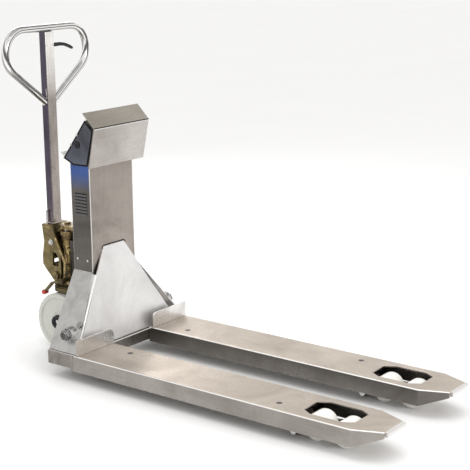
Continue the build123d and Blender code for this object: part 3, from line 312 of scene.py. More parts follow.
def brushed(name, ends, sides, tops, grain, rough=0.3, cloud=9.0, edge=0.0012, streak=0.14, fold_highlight=0.0,
            painted_side_reflections=(), painted_end_bands=()):
    """Brushed sheet steel, with a tone of its own for each way it faces: along the jack, across it and up.

    These tones are painted light and shade. Fine scratches run along one axis under wiped clouds. Rounded
    bends and sharp edges get a painted highlight. A painted reflection fades in over the sides between two
    heights, and painted light and shade over the ends.
    """
    material, tree, shader = new_material(name)
    ways, _ = facing(tree)
    scratches = noise(tree, place_of(tree, grain), 1.0, 4.0, 0.65)
    wiped = noise(tree, place_of(tree, evenly), cloud, 4.0, 0.6, 0.6)
    fine = noise(tree, place_of(tree, evenly), 160.0, 2.0)
    # Painted light and shade: faces looking across the jack take the side tone, the rest the end tone.
    across = spread(tree, ways["Y"], 0.35, 0.85, 0.0, 1.0)
    base = blend(tree, across, ends, sides)
    # Painted reflection: a tone faded in over the sides between two heights.
    for painted_tone, low, high in painted_side_reflections:
        share = times(tree, spread(tree, height(tree), low, high, 0.0, 1.0), across)
        base = blend(tree, share, base, painted_tone)
    # Painted light and shade: a tone faded in over the ends between two heights.
    for painted_tone, low, high in painted_end_bands:
        raised = spread(tree, height(tree), low, high, 0.0, 1.0)
        share = times(tree, raised, spread(tree, across, 0.0, 1.0, 1.0, 0.0))
        base = blend(tree, share, base, painted_tone)
    # Painted light: faces looking up take the top tone.
    base = blend(tree, spread(tree, ways["Z"], 0.2, 0.75, 0.0, 1.0), base, tops)
    base = blend(tree, spread(tree, wiped, 0.4, 0.72, 0.0, 0.5), base, lighter(ends, 0.75), "MULTIPLY")
    lines = node(tree, "ShaderNodeCombineColor")
    for channel in ("Red", "Green", "Blue"):
        tree.links.new(spread(tree, scratches, 0.25, 0.75, 1 - streak, 1 + streak), lines.inputs[channel])
    base = blend(tree, 1.0, base, lines.outputs[0], "MULTIPLY")
    # Painted highlight: faces leaning between across and up, as on rounded bends, turn towards white.
    bent = times(tree, times(tree, ways["Y"], ways["Z"]), 4.0)
    base = blend(tree, spread(tree, bent, 0.25, 0.9, 0.0, fold_highlight), base, colour(0.93, 0.92, 0.9))
    edge_glint_share, normal = edge_highlight_and_rounding(tree, edge)
    # Painted highlight along sharp edges, lighter than the top tone.
    base = blend(tree, edge_glint_share, base, lighter(tops, edge_highlight_gain))
    tree.links.new(base, shader.inputs["Base Color"])
    grit = times(tree, wiped, fine)
    tree.links.new(spread(tree, grit, 0.15, 0.4, rough - 0.07, rough + 0.1), shader.inputs["Roughness"])
    relief = {"Height": scratches, "Normal": normal, "Strength": 0.12, "Distance": grain_depth}
    bump = node(tree, "ShaderNodeBump", relief)
    tree.links.new(bump.outputs["Normal"], shader.inputs["Normal"])
    shader.inputs["Metallic"].default_value = 1.0
    return material


def plated(name, first, second, third, rough=0.34, grit=0.3):
    """Cast or pressed metal with a patchy plated skin in three colours."""
    material, tree, shader = new_material(name)
    patches = noise(tree, place_of(tree, evenly), 26.0, 4.0, 0.6, 0.8)
    grains = noise(tree, place_of(tree, evenly), 620.0, 2.0)
    base = blend(tree, spread(tree, patches, 0.35, 0.62, 0.0, 1.0), first, second)
    veins = noise(tree, place_of(tree, evenly), 61.0, 3.0, 0.5, 1.5)
    base = blend(tree, spread(tree, veins, 0.55, 0.72, 0.0, 0.8), base, third)
    edge_glint_share, normal = edge_highlight_and_rounding(tree, 0.0014)
    # Painted highlight along sharp edges, lighter than the first colour.
    base = blend(tree, edge_glint_share, base, lighter(first, edge_highlight_gain))
    tree.links.new(base, shader.inputs["Base Color"])
    tree.links.new(spread(tree, patches, 0.3, 0.7, rough - 0.1, rough + 0.14), shader.inputs["Roughness"])
    relief = {"Height": grains, "Normal": normal, "Strength": grit, "Distance": grain_depth}
    bump = node(tree, "ShaderNodeBump", relief)
    tree.links.new(bump.outputs["Normal"], shader.inputs["Normal"])
    shader.inputs["Metallic"].default_value = 0.9
    return material


def polished(name, bands, rough=0.08):
    """Chromed bar: bright and dark streaks that follow its roundness, with faint wiping marks. Each band is
    a place round the bar and a tone."""
    # The streaks are painted reflections, picked by which way the surface faces.
    reflection_way = (0.55, -0.3, 0.78)
    material, tree, shader = new_material(name)
    wiped = noise(tree, place_of(tree, evenly), 34.0, 4.0, 0.6, 0.5)
    _, normal = facing(tree)
    turn = node(tree, "ShaderNodeVectorMath", operation="DOT_PRODUCT")
    tree.links.new(normal, turn.inputs[0])
    turn.inputs[1].default_value = reflection_way
    around = spread(tree, turn.outputs["Value"], -1.0, 1.0, 0.0, 1.0)
    shaken = node(tree, "ShaderNodeMath", {0: wiped, 1: 0.08, 2: around}, operation="MULTIPLY_ADD").outputs[0]
    ramp = node(tree, "ShaderNodeValToRGB", {"Fac": shaken})
    first, last = ramp.color_ramp.elements
    first.position, first.color = bands[0][0], (bands[0][1],) * 3 + (1,)
    last.position, last.color = bands[-1][0], (bands[-1][1],) * 3 + (1,)
    for place, tone in bands[1:-1]:
        ramp.color_ramp.elements.new(place).color = (tone, tone * 0.99, tone * 0.97, 1)
    tree.links.new(ramp.outputs["Color"], shader.inputs["Base Color"])
    tree.links.new(spread(tree, wiped, 0.35, 0.75, rough, rough + 0.12), shader.inputs["Roughness"])
    _, soft = edge_highlight_and_rounding(tree, 0.0006)
    tree.links.new(soft, shader.inputs["Normal"])
    shader.inputs["Metallic"].default_value = 1.0
    return material


def plastic(name, tone, worn, rough=0.42, scale=70.0, grit=0.08, soil=0.5, shine=0.5):
    """Moulded or turned plastic with a fine skin and slight soiling."""
    material, tree, shader = new_material(name)
    soiled = noise(tree, place_of(tree, evenly), scale / 3, 5.0, 0.62, 0.4)
    skin = noise(tree, place_of(tree, evenly), scale * 14, 2.0)
    base = blend(tree, spread(tree, soiled, 0.45, 0.75, 0.0, soil), tone, worn)
    _, normal = edge_highlight_and_rounding(tree, 0.001)
    tree.links.new(base, shader.inputs["Base Color"])
    tree.links.new(spread(tree, soiled, 0.3, 0.7, rough - 0.06, rough + 0.12), shader.inputs["Roughness"])
    relief = {"Height": skin, "Normal": normal, "Strength": grit, "Distance": grain_depth}
    bump = node(tree, "ShaderNodeBump", relief)
    tree.links.new(bump.outputs["Normal"], shader.inputs["Normal"])
    shader.inputs["Specular IOR Level"].default_value = shine
    return material


def ruled_plate(name, low_z, high_z):
    """A dark grey plate with rows of plain black bands, slightly worn, and no lettering."""
    material, tree, shader = new_material(name)
    source = node(tree, "ShaderNodeTexCoord")
    parts = node(tree, "ShaderNodeSeparateXYZ", {"Vector": source.outputs["Object"]})
    row_count, gap_share = 7.0, 0.62
    rows = spread(tree, parts.outputs["Z"], low_z, high_z, 0.0, row_count)
    row = node(tree, "ShaderNodeMath", {0: rows, 1: 1.0}, operation="FRACT").outputs[0]
    line = node(tree, "ShaderNodeMath", {0: row, 1: gap_share}, operation="GREATER_THAN").outputs[0]
    worn = noise(tree, place_of(tree, (60, 1, 20)), 1.0, 2.0)
    ink = times(tree, line, spread(tree, worn, 0.2, 0.5, 0.6, 1.0))
    base = blend(tree, ink, colour(0.115, 0.11, 0.11), colour(0.012, 0.012, 0.014))
    tree.links.new(base, shader.inputs["Base Color"])
    shader.inputs["Metallic"].default_value = 0.8
    wiped = noise(tree, place_of(tree, evenly), 40.0, 3.0)
    tree.links.new(spread(tree, wiped, 0.3, 0.7, 0.25, 0.42), shader.inputs["Roughness"])
    return material


def grey(tone, warmth=0.0):
    """A grey, with red added and blue taken away by its warmth."""
    return colour(tone * (1 + warmth), tone, tone * (1 - warmth))


# The tones each steel below gives its ends, sides and tops are painted light and shade.
deck_tone = colour(0.60, 0.525, 0.45)
# How many times a grain is squeezed along X, Y and Z, so that its lines run the way with the small number.
along, upright, crosswise, no_way = (14, 900, 900), (700, 700, 10), (700, 10, 700), (180, 180, 180)

# One fork steel in two copies with painted light: the left fork's sides are shaded darker than the right
# fork's.
near_fork_lit_steel = brushed(
    "near_fork_lit_steel", grey(0.54, 0.06), grey(0.33, 0.07), lighter(deck_tone, 0.94), along,
    rough=0.33, cloud=5.0, fold_highlight=0.95,
)
far_fork_shaded_steel = brushed(
    "far_fork_shaded_steel", grey(0.50, 0.06), grey(0.17, 0.08), deck_tone, along, rough=0.33, cloud=5.0, fold_highlight=0.95,
)
nose_steel = brushed("nose_steel", grey(0.8, 0.02), grey(0.5, 0.03), grey(0.78, 0.02), crosswise, rough=0.3)
front_steel = brushed(
    "front_steel", grey(0.80, 0.01), grey(0.62, 0.02), grey(0.85), upright, rough=0.42, cloud=5.0, streak=0.05,
)
side_steel = brushed(
    "side_steel", grey(0.72, 0.01), grey(0.385, 0.03), grey(0.38, 0.03), upright, rough=0.4, cloud=22.0,
)
beam_steel = brushed(
    "beam_steel", grey(0.28, 0.08), grey(0.27, 0.08), grey(0.47, 0.09), crosswise,
    rough=0.36, cloud=20.0, fold_highlight=0.8,
)
column_steel = brushed(
    "column_steel", colour(0.36, 0.32, 0.29), grey(0.125, 0.07), grey(0.5), upright,
    rough=0.34, cloud=5.0, edge=0.003,
    # Painted reflection: blue over the column's sides high up. Painted shade: its ends darken towards the top.
    painted_side_reflections=[(colour(0.07, 0.12, 0.32), 590 * mm, 650 * mm)],
    painted_end_bands=[(colour(0.30, 0.26, 0.235), 620 * mm, 690 * mm)],
)
hood_steel = brushed(
    "hood_steel", colour(0.52, 0.487, 0.465), grey(0.3, 0.03), colour(0.255, 0.228, 0.165), crosswise,
    rough=0.32, cloud=4.0, edge=0.002,
)
case_steel = brushed("case_steel", grey(0.32, 0.02), grey(0.1), grey(0.24), crosswise, rough=0.36)
panel_steel = brushed("panel_steel", grey(0.55, 0.02), grey(0.75), grey(0.6, 0.02), crosswise, rough=0.3)
inner_steel = brushed(
    "inner_steel", grey(0.16, 0.12), grey(0.11, 0.1), grey(0.22, 0.1), along, rough=0.42, cloud=24.0,
)
stop_steel = brushed(
    "stop_steel", grey(0.78, 0.02), grey(0.3, 0.03), grey(0.85, 0.02), crosswise, rough=0.32, cloud=14.0,
)
tiller_steel = brushed(
    "tiller_steel", colour(0.42, 0.38, 0.35), colour(0.10, 0.085, 0.115), grey(0.5), upright,
    rough=0.28, cloud=6.0, edge=0.002, streak=0.25,
    # Painted reflection lightens the tiller's sides low down; a painted highlight whitens its ends towards the
    # top.
    painted_side_reflections=[(colour(0.2, 0.16, 0.17), 520 * mm, 430 * mm)],
    painted_end_bands=[(colour(0.93, 0.9, 0.87), 860 * mm, 1010 * mm)],
)
tank_steel = brushed(
    "tank_steel", grey(0.12, 0.1), grey(0.07, 0.12), grey(0.2, 0.1), upright, rough=0.4, cloud=22.0,
)
fastener_steel = brushed(
    "fastener_steel", grey(0.7), grey(0.62), grey(0.75), no_way, rough=0.25, cloud=60.0, edge=0.0006,
)
deck_screw_steel = brushed(
    "deck_screw_steel", grey(0.02), grey(0.02), grey(0.14, 0.05), no_way, rough=0.3, cloud=60.0, edge=0.0005,
)
nut_steel = brushed(
    "nut_steel", grey(0.3, 0.03), grey(0.1, 0.03), grey(0.62), no_way, rough=0.24, cloud=120.0, edge=0.0009,
)
weld_steel = brushed(
    "weld_steel", grey(0.62, 0.05), grey(0.42, 0.08), grey(0.7, 0.04), no_way,
    rough=0.34, cloud=90.0, edge=0.0004,
)
cheek_metal = brushed(
    "cheek_metal", colour(0.11, 0.115, 0.13), colour(0.098, 0.1, 0.12), grey(0.14), upright,
    # Painted reflection: a bluish lighter tone over the cheeks low down.
    rough=0.38, cloud=12.0, painted_side_reflections=[(colour(0.13, 0.14, 0.17), 740 * mm, 690 * mm)],
)

gold, olive = colour(0.38, 0.28, 0.12), colour(0.13, 0.105, 0.05)
zinc = plated("yellow_zinc", colour(0.23, 0.18, 0.085), olive, colour(0.06, 0.045, 0.03))
zinc_dark = plated("olive_zinc", olive, colour(0.06, 0.05, 0.03), colour(0.24, 0.16, 0.09), rough=0.42)
zinc_gold = plated("gold_zinc", gold, colour(0.12, 0.085, 0.04), colour(0.8, 0.66, 0.42), rough=0.26)
# Tones of the painted reflections on chrome, by place round the bar.
chrome_reflection_bands = (
    (0.0, 0.6), (0.1, 0.9), (0.18, 0.1), (0.28, 0.8), (0.38, 0.9), (0.46, 0.1), (0.54, 0.7), (0.6, 0.08),
    (0.68, 0.85), (0.76, 0.95), (0.81, 0.1), (0.87, 0.16), (0.91, 0.9), (0.97, 0.7), (1.0, 0.2),
)
chrome = polished("chrome", chrome_reflection_bands)
# Its bands are painted reflections as well.
spring_steel = polished("spring_steel", ((0.0, 0.3), (0.5, 0.85), (1.0, 0.9)), rough=0.22)

nylon_skin = {"rough": 0.38, "scale": 40.0, "grit": 0.06, "soil": 0.45}
nylon = plastic("nylon", colour(0.59, 0.595, 0.55), colour(0.40, 0.40, 0.35), **nylon_skin)
roller_nylon = plastic("roller_nylon", colour(0.86, 0.85, 0.81), colour(0.6, 0.57, 0.5), **nylon_skin)
black = plastic(
    "black_plastic", colour(0.018, 0.018, 0.02), colour(0.04, 0.04, 0.04),
    rough=0.38, scale=70.0, grit=0.12, shine=0.2,
)
rubber = plastic(
    "black_rubber", colour(0.012, 0.012, 0.012), colour(0.03, 0.028, 0.026),
    rough=0.65, scale=90.0, grit=0.25, shine=0.05,
)
red = plastic(
    "red_dip", colour(0.52, 0.03, 0.025), colour(0.25, 0.02, 0.02), rough=0.3, scale=60.0, grit=0.05,
)
plate_low, plate_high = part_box("data_plate")
label = ruled_plate("ruled_label", plate_low.z, plate_high.z)
glass = plastic(
    "dark_glass", colour(0.02, 0.03, 0.028), colour(0.05, 0.06, 0.055),
    rough=0.1, scale=20.0, grit=0.0, soil=0.3,
)

finishes = {
    near_fork_lit_steel: "right_fork_shell",
    far_fork_shaded_steel: "left_fork_shell",
    nose_steel: "fork_nose_bars",
    stop_steel: "load_stops",
    beam_steel: "crossbeam",
    side_steel: "right_side_plate left_side_plate",
    front_steel: "frame_front_plate",
    column_steel: "column",
    hood_steel: "indicator_hood",
    case_steel: "indicator_case",
    panel_steel: "display_panel",
    cheek_metal: "cheek_plates",
    inner_steel: "right_inner_fork left_inner_fork bell_crank right_push_rod left_push_rod right_roller_arm"
    " left_roller_arm right_bogie left_bogie load_cells",
    tiller_steel: "tiller_tube",
    tank_steel: "oil_reservoir",
    fastener_steel: "cover_screws arm_pivot_pins steer_axle",
    deck_screw_steel: "deck_screws",
    nut_steel: "side_fasteners trunnion_shaft",
    zinc: "tiller_yoke pump_cam release_pedal",
    zinc_gold: "ram_bracket pump_cylinder",
    zinc_dark: "pump_body thrust_ring wheel_carrier",
    chrome: "handle_loop ram release_chain pump_plunger",
    spring_steel: "plunger_spring",
    nylon: "right_steer_wheel left_steer_wheel right_rear_roller right_front_roller left_rear_roller"
    " left_front_roller",
    black: "right_wheel_hub left_wheel_hub control_lever side_socket power_key zero_key tare_key",
    label: "data_plate",
    glass: "display_window",
    red: "pedal_cap",
}
for material, names in finishes.items():
    for name in names.split():
        nodes[name].data.materials.clear()
        nodes[name].data.materials.append(material)


def finish_piece(piece, name, body, material, replaced=(), angle=35):
    """Name a finished piece, give it its finish and hang it on its body."""
    hold(piece)
    bpy.ops.object.shade_smooth_by_angle(angle=math.radians(angle))
    piece.name = name
    piece.data.materials.clear()
    piece.data.materials.append(material)
    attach(piece, body)
    if replaced:
        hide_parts(*replaced)
    return piece


# ---- Handle loop --------------------------------------------------------------------
def handle_loop():
    """A bent tube: up one leg, round the corner and along the top, mirrored to the other side."""
    radius = (loop_high.x - loop_low.x) / 2
    corner_r = 78 * mm
    root_y, root_z = 18 * mm, 855 * mm  # where a leg starts inside the tiller tube
    corner = Vector((tiller_x, loop_high.y - radius - corner_r, loop_high.z - radius - corner_r))
    root = Vector((tiller_x, root_y, root_z))
    back = root - corner
    lean = math.atan2(back.z, back.y) + math.acos(corner_r / back.length)
    leg_end = corner + corner_r * Vector((0, math.cos(lean), math.sin(lean)))
    leg = leg_end - root
    tilt = Vector((0, 0, 1)).rotation_difference(leg).to_euler()
    deselect()
    bpy.ops.mesh.primitive_circle_add(vertices=32, radius=radius, location=root, rotation=tilt)
    tube = settle(bpy.context.object)
    bpy.ops.object.mode_set(mode="EDIT")
    bpy.ops.mesh.extrude_region_move(TRANSFORM_OT_translate={"value": leg})
    sweep = math.pi / 2 - lean
    bpy.ops.mesh.spin(steps=28, angle=-sweep, center=corner, axis=(1, 0, 0))
    bpy.ops.mesh.extrude_region_move(TRANSFORM_OT_translate={"value": (0, -corner.y, 0)})
    bpy.ops.object.mode_set(mode="OBJECT")
    hold(tube)
    mirror = tube.modifiers.new("other half", "MIRROR")
    mirror.use_axis = (False, True, False)
    bpy.ops.object.modifier_apply(modifier="other half")
    return clean(tube)


finish_piece(handle_loop(), "bent_handle", "tiller", chrome, ["handle_loop"], 60)


# ---- Steer wheels -------------------------------------------------------------------
def steer_wheel(low_y, high_y):
    """A turned nylon wheel with chamfered tread, a shallow dish and a raised rim on each face."""
    width = high_y - low_y
    bore, boss, boss_foot = 25 * mm, 34 * mm, 36 * mm
    rim_foot, rim, shoulder = wheel_r - 19 * mm, wheel_r - 16 * mm, wheel_r - 5 * mm
    dish, chamfer = 3.5 * mm, 1.5 * mm
    half = [
        (bore, 0), (boss, 0), (boss_foot, dish), (rim_foot, dish), (rim, 0), (shoulder, 0),
        (wheel_r - chamfer, chamfer), (wheel_r, 5 * mm),
    ]
    profile = half + [(radius, width - depth) for radius, depth in reversed(half)]
    return turned(profile + [profile[0]], (wheel_x, low_y, wheel_z), "Y", 96)


def wheel_hub(side, inner_y, outer_y):
    """The moulded hub: a stepped boss with a recess round the axle."""
    axle_hole, recess, lip = 10.1 * mm, 16 * mm, 17 * mm
    boss, neck = 25 * mm, 23 * mm
    profile = [
        (axle_hole, inner_y), (boss, inner_y), (boss, outer_y - 12 * mm), (neck, outer_y - 11 * mm),
        (neck, outer_y - 1.5 * mm), (21.5 * mm, outer_y), (lip, outer_y), (recess, outer_y - 2 * mm),
        (axle_hole, outer_y - 2 * mm),
    ]
    profile = [(r, side * y) for r, y in profile]
    return turned(profile + [profile[0]], (wheel_x, 0, wheel_z), "Y", 64)


for side_name, side in sides:
    low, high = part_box(f"{side_name}_steer_wheel")
    wheel = steer_wheel(low.y, high.y)
    finish_piece(wheel, f"{side_name}_nylon_wheel", f"{side_name}_wheel", nylon,
                 [f"{side_name}_steer_wheel"], 30)
    low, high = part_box(f"{side_name}_wheel_hub")
    inner, outer = sorted((abs(low.y), abs(high.y)))
    hub = wheel_hub(side, inner, outer)
    finish_piece(hub, f"{side_name}_moulded_hub", f"{side_name}_wheel", black,
                 [f"{side_name}_wheel_hub"], 30)


# ---- Load rollers -------------------------------------------------------------------
def load_roller(low, high):
    """A turned nylon roller, rounded off at its ends, with a recess round the bearing."""
    r = (high.z - low.z) / 2
    width = high.y - low.y
    bore, recess, recess_rim = 8.05 * mm, 20 * mm, 24 * mm
    inset, recess_depth, chamfer = 1.5 * mm, 3.5 * mm, 1.2 * mm
    half = [
        (bore, inset), (recess - mm, inset), (recess, recess_depth), (recess_rim, recess_depth),
        (recess_rim + 1.5 * mm, 0.0), (r - 4 * mm, 0.0), (r - chamfer, chamfer), (r, 4.5 * mm),
    ]
    profile = half + [(radius, width - depth) for radius, depth in reversed(half)]
    centre = ((low.x + high.x) / 2, low.y, (low.z + high.z) / 2)
    return turned(profile + [profile[0]], centre, "Y", 72)


def roller_bearings(low, high):
    """Steel bearing faces with a groove for the seal, at both ends of a roller."""
    centre = ((low.x + high.x) / 2, low.y, (low.z + high.z) / 2)
    width = high.y - low.y
    bore, outer = 8.06 * mm, 18.9 * mm
    groove_in, groove_out, slope = 11 * mm, 16.6 * mm, 0.6 * mm
    set_in, groove, thick = 0.6 * mm, 0.5 * mm, 2 * mm
    rings = []
    for start, inwards in ((set_in, 1), (width - set_in, -1)):
        profile = [
            (bore, start), (groove_in, start), (groove_in + slope, start + inwards * groove),
            (groove_out - slope, start + inwards * groove), (groove_out, start), (outer, start),
            (outer, start + inwards * thick), (bore, start + inwards * thick),
        ]
        rings.append(turned(profile + [profile[0]], centre, "Y", 40))
    return join(rings)


for side_name, _ in sides:
    for place in ("rear", "front"):
        name = f"{side_name}_{place}_roller"
        low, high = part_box(name)
        finish_piece(load_roller(low, high), f"{name}_tread", name, roller_nylon, [name], 30)
        finish_piece(roller_bearings(low, high), f"{name}_bearings", name, fastener_steel)


# ---- Detail tools -------------------------------------------------------------------
def at(x, y, z):
    """A place in millimetres: along from the forks' heel, across from the middle, up from the floor."""
    return Vector((heel_x + x * mm, y * mm, z * mm))


def line_over(x, half_width, z, radius):
    """A round line from side to side over the middle of the jack, placed in millimetres."""
    return rod(at(x, -half_width, z), at(x, half_width, z), radius)


def outline(points, y):
    """A flat face that looks across the jack, drawn point by point in millimetres from the heel."""
    places = [at(x, y, z) for x, z in points]
    deselect()
    bpy.ops.mesh.primitive_plane_add(size=mm, location=places[0])
    piece = settle(bpy.context.object)
    bpy.ops.object.mode_set(mode="EDIT")
    bpy.ops.mesh.select_mode(type="VERT")
    bpy.ops.mesh.merge(type="CENTER")
    for here, there in zip(places, places[1:]):
        bpy.ops.mesh.extrude_region_move(TRANSFORM_OT_translate={"value": there - here})
    bpy.ops.mesh.select_all(action="SELECT")
    bpy.ops.mesh.edge_face_add()
    return piece


def cut_plate(points, low_y, high_y, edge=0.6):
    """A plate of that outline between two places across the jack, with softened edges."""
    piece = outline(points, low_y)
    bpy.ops.mesh.extrude_region_move(TRANSFORM_OT_translate={"value": (0, (high_y - low_y) * mm, 0)})
    return round_edges(clean(piece), edge * mm, 2, 30)


def frame_ring(points, width, low_y, high_y):
    """A flat border that follows an outline, with an open middle."""
    piece = outline(points, low_y)
    bpy.ops.mesh.inset(thickness=width * mm)
    bpy.ops.mesh.delete(type="FACE")
    bpy.ops.mesh.select_all(action="SELECT")
    bpy.ops.mesh.extrude_region_move(TRANSFORM_OT_translate={"value": (0, (high_y - low_y) * mm, 0)})
    return round_edges(clean(piece), 0.4 * mm, 2, 50)


def button_screw(centre, direction, radius, proud):
    """A low crowned head with a round socket."""
    centre, direction = Vector(centre), Vector(direction)
    slope, crown, socket_rim = 0.28, 0.12, 0.22  # shares of the radius
    socket_depth = 0.7  # share of the height
    head = rod(centre - direction * 0.1 * mm, centre + direction * proud, radius, 24)
    pick(head, lambda middle, normal: normal.dot(direction) > 0.9)
    bpy.ops.mesh.inset(thickness=radius * slope)
    bpy.ops.transform.translate(value=direction * radius * crown)
    bpy.ops.mesh.inset(thickness=radius * socket_rim)
    bpy.ops.mesh.extrude_region_move(TRANSFORM_OT_translate={"value": -direction * proud * socket_depth})
    bpy.ops.object.mode_set(mode="OBJECT")
    return round_edges(head, radius * 0.06, 2, 40)


def washer_ring(centre, side, inner, outer, thickness):
    """A turned ring with a chamfered outer rim, facing one side of the jack."""
    rim = thickness * 0.25
    profile = [(inner, 0), (outer, 0), (outer, thickness - rim), (outer - rim, thickness), (inner, thickness)]
    profile = [(radius, side * depth) for radius, depth in profile]
    return turned(profile + [profile[0]], centre, "Y", 40)


# ---- Indicator and column details ---------------------------------------------------
case_outline = [(-46.5, 797), (-76, 680), (-136, 679), (-180, 699), (-81, 829)]
cheek_face, seal_face = 125.1, 128.9
for side_name, side in sides:
    seal = frame_ring(case_outline, 4.6, side * cheek_face, side * seal_face)
    finish_piece(seal, f"{side_name}_cheek_seal", "chassis", rubber)

# Each screw's place along and up, then how far across its head sits.
screw_places = [((-116, 780), 128), ((-144, 746), 128), ((-155, 360), 105), ((-111, 357), 105)]
heads = []
for (x, z), y in screw_places:
    for _, side in sides:
        heads.append(button_screw(at(x, side * y, z), (0, side, 0), 4 * mm, 2.4 * mm))
finish_piece(join(heads), "cover_screw_heads", "chassis", fastener_steel, ["cover_screws"])

socket_ring = washer_ring(at(-117, -128, 748), -1, 9.2 * mm, 12 * mm, 1.6 * mm)
finish_piece(socket_ring, "socket_ring", "chassis", rubber)

hood_half, hood_edge_x, hood_edge_z = 131.8, -36.4, 806.7
front_plate_x, front_plate_top = -89.9, 401.6
beam_side = 272.5
# Thin black rods: painted shadow lines under the hood ridge, along the front plate's top and corners, and at
# the feet of the load stops and side plates.
shadow_lines = [line_over(hood_edge_x, hood_half, hood_edge_z, 1.6 * mm)]
shadow_lines.append(line_over(front_plate_x, 50, front_plate_top, 1.6 * mm))
for _, side in sides:
    inner, outer = side * (fork_mid - fork_half + 2 * mm) / mm, side * (fork_mid + fork_half - 2 * mm) / mm
    shadow_lines.append(rod(at(-11.7, inner, 90.1), at(-11.7, outer, 90.1), 0.8 * mm))
    shadow_lines.append(rod(at(-137, side * beam_side, 92.8), at(-19, side * beam_side, 92.8), 1.3 * mm))
    shadow_lines.append(rod(at(front_plate_x, side * 52, 400.6), at(front_plate_x, side * 57, 391), 1.4 * mm))
finish_piece(join(shadow_lines), "painted_shadow_lines", "chassis", rubber)

column_fold_x, column_fold_y = -92, 103.6
# Bright rods round off the hood ridge and the column's front corners; their bright steel is a painted
# highlight along these bends.
fold_highlights = [line_over(-37.1, hood_half, 803.6, 1.7 * mm)]
for _, side in sides:
    low_end, high_end = (at(column_fold_x, side * column_fold_y, z) for z in (322, 671))
    fold_highlights.append(rod(low_end, high_end, 2 * mm))
finish_piece(join(fold_highlights), "rounded_fold_highlights", "chassis", stop_steel)


# ---- Weld beads ---------------------------------------------------------------------
beads = []
stop_weld_x, stop_weld_z = stop_low.x - mm, deck_z + 0.4 * mm
for _, side in sides:
    stop_outer, stop_inner = side * (fork_mid + fork_half - 2 * mm), side * (fork_mid - fork_half + 4 * mm)
    stop_ends = [(stop_weld_x, y, stop_weld_z) for y in (stop_outer, stop_inner)]
    beads.append(weld(*stop_ends, 2 * mm))
    beads.append(weld(at(-136, side * 272.2, 91.3), at(-18, side * 272.2, 91.3), 2.3 * mm))
    beads.append(weld(at(-174, side * 105.6, 318.4), at(-94, side * 105.6, 318.4), 1.5 * mm))
beads.append(weld(at(-15.8, -238, 91), at(-15.8, 238, 91), 2.2 * mm))
finish_piece(join(beads), "frame_welds", "chassis", weld_steel, angle=60)

tube_front, tube_side = tube_high.x, tube_high.y
foot_z, leg_low_z, leg_high_z = 436 * mm, 868 * mm, 902 * mm
foot_x, leg_x = tube_front + 0.6 * mm, tiller_x + 9 * mm
beads = [weld((foot_x, -tube_side, foot_z), (foot_x, tube_side, foot_z), 1.8 * mm)]
for _, side in sides:
    foot_y, leg_y = side * (tube_side + 0.5 * mm), side * (tube_side + 0.4 * mm)
    beads.append(weld((tiller_x - 12 * mm, foot_y, foot_z), (tiller_x + 13 * mm, foot_y, foot_z), 1.8 * mm))
    beads.append(weld((leg_x, leg_y, leg_low_z), (leg_x, leg_y, leg_high_z), 1.6 * mm))
finish_piece(join(beads), "tiller_welds", "tiller", weld_steel, angle=60)

cap_gap = 1.2 * mm
cap = slab((tube_low.x + cap_gap, tube_low.y + cap_gap, tube_high.z - 3 * mm),
           (tube_high.x - cap_gap, tube_high.y - cap_gap, tube_high.z - 0.3 * mm))
pick(cap, lambda middle, normal: normal.z > 0.9)
bpy.ops.mesh.inset(thickness=2 * mm)
bpy.ops.transform.translate(value=(0, 0, 0.25 * mm))
bpy.ops.object.mode_set(mode="OBJECT")
finish_piece(round_edges(cap, 0.4 * mm), "tiller_cap", "tiller", tiller_steel)

screw_z = 1046.5 * mm
tiller_screws = [button_screw((tube_front, y * mm, screw_z), (1, 0, 0), 3.6 * mm, 2 * mm) for y in (-16, 12.6)]
finish_piece(join(tiller_screws), "tiller_screws", "tiller", fastener_steel)


# ---- Pump and yoke details ----------------------------------------------------------
link_outline = [
    (-325, 393), (-316, 396), (-286, 338), (-272, 314), (-279, 240), (-289, 240), (-282, 312), (-294, 334),
]
link = cut_plate(link_outline, -48, -44)
finish_piece(link, "release_link", "pump_unit", zinc_gold)

pump_bolts = [
    hex_bolt(at(-273, -33, z), (0, -1, 0), 5.5 * mm, 4.5 * mm, 7 * mm) for z in (238, 264, 288)
]
for side in (-1, 1):
    pump_bolts.append(hex_bolt(at(-277, side * 26.4, 345), (0, side, 0), 12 * mm, 6 * mm, 14 * mm))
finish_piece(join(pump_bolts), "pump_plugs", "pump_unit", zinc_gold)

yoke_side = 42
yoke_bolts = [
    hex_bolt(at(-344, side * yoke_side, 375), (0, side, 0), 7 * mm, 5 * mm, 9.5 * mm) for _, side in sides
]
finish_piece(join(yoke_bolts), "yoke_bolts", "tiller", fastener_steel)

rib_outline = [(-384, 430), (-350, 430), (-344, 424), (-380, 424)]
rib_thickness = 2
ribs = [cut_plate(rib_outline, side * yoke_side, side * (yoke_side + rib_thickness)) for _, side in sides]
finish_piece(join(ribs), "yoke_ribs", "tiller", zinc_gold)


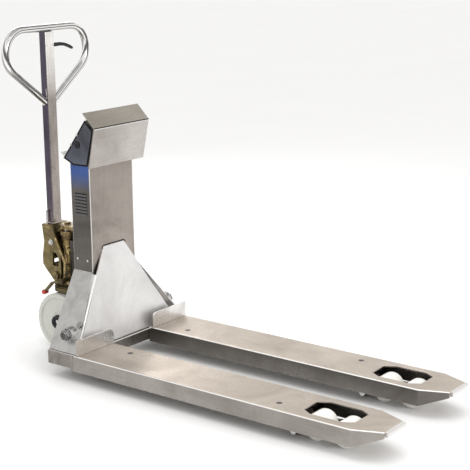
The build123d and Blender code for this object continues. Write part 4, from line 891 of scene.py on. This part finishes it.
# ---- Camera, floor and light --------------------------------------------------------
# Where the photo was taken from, fitted to points measured in it.
eye = Vector((2.37325, -3.0385, 1.4342))
aim = Vector((0.10875, -0.058, 0.516))
roll = math.radians(-0.609)
focal_length, sensor_width = 97.15, 36
camera = bpy.data.objects.new("camera", bpy.data.cameras.new("camera"))
bpy.context.scene.collection.objects.link(camera)
camera.data.lens = focal_length
camera.data.sensor_width = sensor_width
camera.location = eye
camera.rotation_mode = "QUATERNION"
camera.rotation_quaternion = (aim - eye).to_track_quat("-Z", "Y") @ Quaternion((0, 0, 1), roll)
bpy.context.scene.camera = camera

floor_size, daylight = 60, 1.0
deselect()
bpy.ops.mesh.primitive_plane_add(size=floor_size)
floor = bpy.context.object
floor.name = "studio_floor"
material, tree, shader = new_material("floor_paint")
mottle = noise(tree, place_of(tree, evenly), 1.2, 3.0)
paint = blend(tree, mottle, grey(0.9), grey(0.93))
tree.links.new(paint, shader.inputs["Base Color"])
shader.inputs["Roughness"].default_value = 0.85
floor.data.materials.append(material)

world = bpy.data.worlds.new("studio")
bpy.context.scene.world = world
world.use_nodes = True
sky = world.node_tree.nodes["Background"]
sky.inputs["Color"].default_value = (1.0, 0.995, 0.985, 1)
sky.inputs["Strength"].default_value = daylight


def softbox(name, place, target, size, power, tone=(1, 1, 1)):
    """A square area light aimed at a point."""
    lamp = bpy.data.lights.new(name, "AREA")
    lamp.shape = "RECTANGLE"
    lamp.size, lamp.size_y = size
    lamp.energy = power
    lamp.color = tone
    light = bpy.data.objects.new(name, lamp)
    bpy.context.scene.collection.objects.link(light)
    light.location = place
    light.rotation_euler = (Vector(target) - Vector(place)).to_track_quat("-Z", "Y").to_euler()


middle = (0, 0, 0.35)
softbox("overhead", (0.2, -0.2, 3.0), middle, (2.4, 2.4), 22)
softbox("front", (3.2, -0.8, 1.6), middle, (1.2, 1.8), 26, (1, 0.97, 0.94))
softbox("rear", (-2.6, 1.8, 2.2), middle, (1.4, 1.4), 18)
bpy.context.scene.view_settings.view_transform = "Standard"
